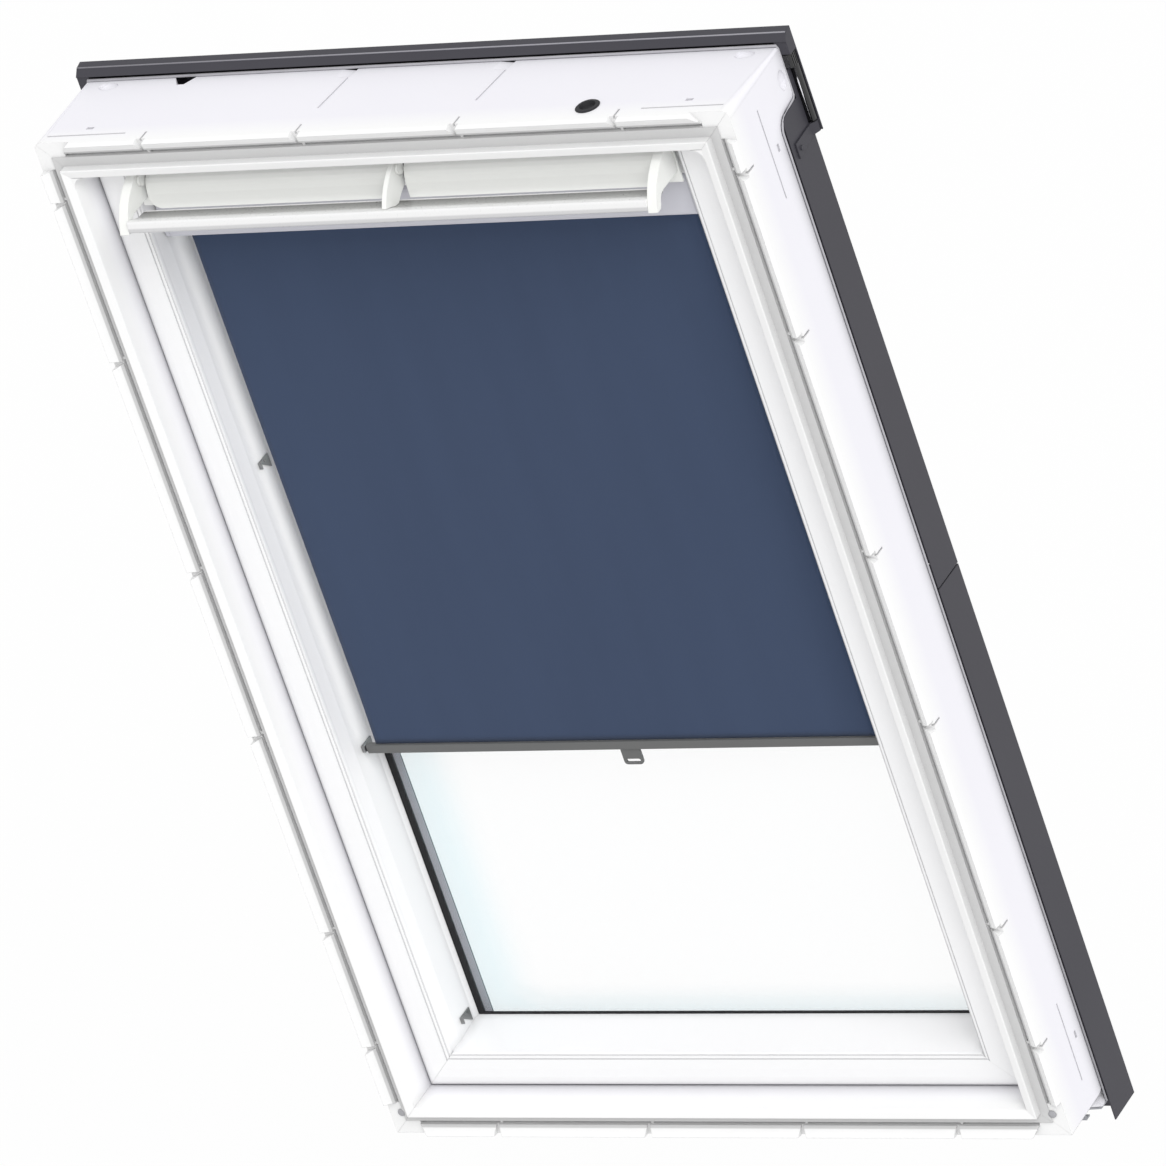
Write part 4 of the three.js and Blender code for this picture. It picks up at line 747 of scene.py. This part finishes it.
def make_wound_cloth():
    """The cloth still on the roller, wound as a spiral."""
    inner = (TUBE_HIGH.z - TUBE_LOW.z) / 2 + WOUND_GAP * 2
    outer = (WOUND_HIGH.z - WOUND_LOW.z) / 2 - CLOTH_THICK
    pitch = CLOTH_THICK + WOUND_GAP
    turns = (outer - inner) / pitch
    steps = round(turns * WOUND_SIDES)
    centre = (WOUND_LOW + WOUND_HIGH) / 2
    points = []
    length = 0.0
    for k in range(steps + 1):
        turn = math.tau * turns * k / steps
        radius = inner + (outer - inner) * k / steps
        length += radius * math.tau * turns / steps if k else 0
        for x in (WOUND_LOW.x, WOUND_HIGH.x):
            for deep in (0, CLOTH_THICK):
                reach = radius + deep
                points.append((x, centre.y + reach * math.sin(turn), centre.z + reach * math.cos(turn)))
    faces = []
    for k in range(steps):
        a = k * 4
        for i, j in ((0, 1), (1, 3), (3, 2), (2, 0)):
            faces.append((a + i, a + j, a + j + 4, a + i + 4))
    faces.append((0, 2, 3, 1))
    end = steps * 4
    faces.append((end, end + 1, end + 3, end + 2))
    wound = piece("wound_blind_cloth", points, faces, MATERIALS["fabric"])
    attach(wound, "roller")
    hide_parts("wound_fabric")


TRIM_THIN = 1.1 * MM
TRIM_THICK = 1.5 * MM
TRIM_IN = 2.8 * MM
TRIM_SUNK = 0.2 * MM
TRIM_EDGE = COVER_LOW.y + 0.8 * MM
TRIM_BEND = 12 * MM
TRIM_RISE = 4 * MM
BEND_STEPS = 8


def trim_side(side):
    """The trim's way up one side: along the back edge, round the bend, out along the shoulder and
    up to the head."""
    x = side * (JAMB_HIGH.x - TRIM_SUNK)
    y = TRIM_EDGE - TRIM_IN
    way = [Vector((x, y, SILL_LOW.z + TRIM_THIN)), Vector((x, y, SHOULDER / 2))]
    middle = Vector((x, TRIM_EDGE + TRIM_BEND, SHOULDER - TRIM_BEND))
    reach = TRIM_BEND + TRIM_IN
    for k in range(BEND_STEPS + 1):
        turn = math.pi / 2 * k / BEND_STEPS
        way.append(middle + Vector((0, -reach * math.cos(turn), reach * math.sin(turn))))
    back = JAMB_HIGH.y
    way.append(Vector((x, back - TRIM_IN / 2, SHOULDER + TRIM_IN + TRIM_RISE)))
    way.append(Vector((x, back + TRIM_IN / 4, SHOULDER + TRIM_IN * 2 + TRIM_RISE)))
    way.append(Vector((x, back + TRIM_IN / 4, HEAD_HIGH.z - TRIM_THICK)))
    way.append(Vector((x - side * TRIM_THIN, back + TRIM_IN / 4, HEAD_HIGH.z + TRIM_THICK)))
    return way


def make_trim():
    """The light edge trim that shows along the frame's back edges, up one side and down the other."""
    left = trim_side(-1)
    right = trim_side(1)
    way = left + right[::-1]
    radii = [TRIM_THIN] * len(way)
    radii[len(left) - 1] = TRIM_THICK
    radii[len(left)] = TRIM_THICK
    trim = tube("frame_edge_trim", way, radii, TRIM)
    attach(trim, "frame")


CORNER_FRONT = 13 * MM
CORNER_ROUND = (8 * MM, 1.8 * MM)
CORNER_WIDE = (2 * MM, 1 * MM)
CORNER_PROUD = 0.12 * MM
CORNER_SUNK = 0.4 * MM
CORNER_STEPS = 10
CORNER_ROWS = 4


def make_corner_skin(name, side):
    """The unbroken skin of the moulding over the mitre at the frame's upper corner."""
    rows = []
    for r in range(CORNER_ROWS + 1):
        share = r / CORNER_ROWS
        y = RIM_FACE + CORNER_FRONT + share * (HEAD_HIGH.y - RIM_FACE - CORNER_FRONT - MM)
        along = (y - RIM_FACE) / (HEAD_HIGH.y - RIM_FACE)
        radius = CORNER_ROUND[0] + (CORNER_ROUND[1] - CORNER_ROUND[0]) * along
        wide = CORNER_WIDE[0] + (CORNER_WIDE[1] - CORNER_WIDE[0]) * along
        row = []
        for deep in (CORNER_PROUD, -CORNER_SUNK):
            reach = radius + deep
            x = JAMB_HIGH.x - radius
            z = HEAD_HIGH.z - radius
            run = [(x - wide, z + reach)]
            for k in range(CORNER_STEPS + 1):
                turn = math.pi / 2 * (1 - k / CORNER_STEPS)
                run.append((x + reach * math.cos(turn), z + reach * math.sin(turn)))
            run.append((x + reach, z - wide))
            row.append([(side * a, y, b) for a, b in run])
        rows.append(row[0] + row[1][::-1])
    count = len(rows[0])
    points = [point for row in rows for point in row]
    faces = [tuple(range(count))]
    for r in range(len(rows) - 1):
        for k in range(count):
            a = r * count + k
            b = r * count + (k + 1) % count
            faces.append((a, a + count, b + count, b))
    faces.append(tuple(len(points) - 1 - k for k in range(count)))
    skin = piece(name, points, faces, CORNER, smooth=False)
    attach(skin, "frame")


PLUG_IN = 13.8 * MM
PLUG_UP = 25.4 * MM
PLUG_RADIUS = 4.1 * MM
PLUG_FACE = 9.8 * MM
PLUG_THICK = 1.6 * MM
PLUG_SIDES = 24
PLUG_RINGS = ((1.0, 1.0), (1.0, 0.3), (0.9, 0.0), (0.3, 0.0))
LINE_THIN = 0.7 * MM
LINE_OUT = 4 * MM
LINE_TOP = 37 * MM
LINE_LOW = 84 * MM
LINE_SHARES = ((0.0, 0.3), (0.1, 1.0), (0.4, 0.8), (0.55, 0.3), (1.0, 0.1))
LINE_SIDES = 8
STRIP_AT = 134.3 * MM


def make_end_glint(name, side):
    """A painted highlight: a bright tube standing for the glint along the rounded strip under the hood's
    end, tapered at both ends.
    """
    x = side * (COVER_HIGH.x + LINE_OUT)
    y = JAMB_LOW.y + STRIP_AT
    top = HEAD_HIGH.z - LINE_TOP
    low = HEAD_HIGH.z - LINE_LOW
    way = [Vector((x, y, top + (low - top) * share)) for share, _ in LINE_SHARES]
    radii = [LINE_THIN * share for _, share in LINE_SHARES]
    line = tube(name, way, radii, STRIP_GLINT, LINE_SIDES)
    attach(line, "frame")


def make_corner_plug(name, side):
    """The round plug in the moulded hole at each lower corner of the rim."""
    centre = Vector((side * (JAMB_HIGH.x - PLUG_IN), RIM_FACE + PLUG_FACE, PLUG_UP))
    points = []
    for share, deep in PLUG_RINGS:
        for k in range(PLUG_SIDES):
            turn = math.tau * k / PLUG_SIDES
            reach = PLUG_RADIUS * share
            place = Vector((reach * math.cos(turn), PLUG_THICK * deep, reach * math.sin(turn)))
            points.append(centre + place)
    faces = []
    for ring in range(len(PLUG_RINGS) - 1):
        for k in range(PLUG_SIDES):
            a = ring * PLUG_SIDES + k
            b = ring * PLUG_SIDES + (k + 1) % PLUG_SIDES
            faces.append((a, b, b + PLUG_SIDES, a + PLUG_SIDES))
    last = (len(PLUG_RINGS) - 1) * PLUG_SIDES
    faces.append(tuple(range(PLUG_SIDES - 1, -1, -1)))
    faces.append(tuple(last + k for k in range(PLUG_SIDES)))
    plug = piece(name, points, faces, PLUG)
    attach(plug, "frame")


FOLD_IN = 8.5 * MM
FOLD_DOWN = 2.2 * MM
FOLD_SHORT = MM
FOLD_RADIUS = 0.8 * MM


def make_fold_highlight():
    """A painted highlight: a lighter tube standing for the glint on the fold along the hood's upper
    front.
    """
    y = HOOD_HIGH.y - FOLD_IN
    z = HOOD_HIGH.z - FOLD_DOWN
    ends = [Vector((HOOD_LOW.x + FOLD_SHORT, y, z)), Vector((HOOD_HIGH.x - FOLD_SHORT, y, z))]
    fold = tube("hood_fold", ends, [FOLD_RADIUS] * 2, FOLD_GLINT, LINE_SIDES)
    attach(fold, "frame")


# Room: a plain pale floor, a pale world and one soft key light

FLOOR_DROP = 0.9
FLOOR_HALF = 20
WORLD_LEVEL = 0.75
KEY_LEVEL = 1.46
KEY_FROM = Vector((0.56, -0.47, 0.69))
KEY_SOFT = math.radians(35)
WHITE = (1, 1, 1, 1)
FLOOR_TONES = ((0.86, 0.86, 0.86, 1), (0.83, 0.83, 0.83, 1))
FLOOR_CLOUD_SCALE = 0.6
FLOOR_GLOW = 0.94


SEEN_RAYS = ("Is Camera Ray", "Is Glossy Ray", "Is Transmission Ray")


def seen_directly(tree):
    """1 for camera, mirror and see-through rays, which show the plain white background."""
    path = tree.nodes.new("ShaderNodeLightPath")
    camera, mirror, through = (Wire(tree, path.outputs[key]) for key in SEEN_RAYS)
    return (camera + mirror + through).clipped()


def make_room():
    world = bpy.data.worlds.new("studio")
    bpy.context.scene.world = world
    world.use_nodes = True
    tree = world.node_tree
    seen = seen_directly(tree)
    level = seen * (1 - WORLD_LEVEL) + WORLD_LEVEL
    background = tree.nodes["Background"]
    background.inputs["Color"].default_value = WHITE
    tree.links.new(level.socket, background.inputs["Strength"])

    it = Finish("floor, pale")
    tone = it.noise(FLOOR_CLOUD_SCALE)
    it.dress(Base_Color=it.blend(tone, *FLOOR_TONES), Roughness=0.9 + 0.05 * tone)
    seen = seen_directly(it.tree)
    glow = it.node("ShaderNodeEmission", {}, {"Color": WHITE, "Strength": 1.0})
    mixer = it.tree.nodes.new("ShaderNodeMixShader")
    output = next(node for node in it.tree.nodes if node.type == "OUTPUT_MATERIAL")
    it.feed(mixer.inputs[0], seen * FLOOR_GLOW)
    it.tree.links.new(it.surface.outputs[0], mixer.inputs[1])
    it.tree.links.new(glow.socket, mixer.inputs[2])
    it.tree.links.new(mixer.outputs[0], output.inputs["Surface"])
    z = SILL_LOW.z - FLOOR_DROP
    corners = [(a * FLOOR_HALF, b * FLOOR_HALF, z) for a, b in ((-1, -1), (1, -1), (1, 1), (-1, 1))]
    floor = piece("floor", corners, [(0, 1, 2, 3)], it.material, smooth=False)

    key = bpy.data.lights.new("key light", "SUN")
    key.energy = KEY_LEVEL
    key.angle = KEY_SOFT
    lamp = bpy.data.objects.new("key light", key)
    lamp.rotation_mode = "QUATERNION"
    lamp.rotation_quaternion = KEY_FROM.to_track_quat("Z", "Y")
    bpy.context.collection.objects.link(lamp)


place_camera()
bpy.context.scene.view_settings.view_transform = "Standard"
dress_nodes()
make_cloth()
make_wound_cloth()
make_trim()
make_fold_highlight()
for name, side in (("left", -1), ("right", 1)):
    make_end_glint(f"hood_end_glint_{name}", side)
    make_corner_plug(f"corner_plug_{name}", side)
    make_corner_skin(f"corner_skin_{name}", side)
make_room()
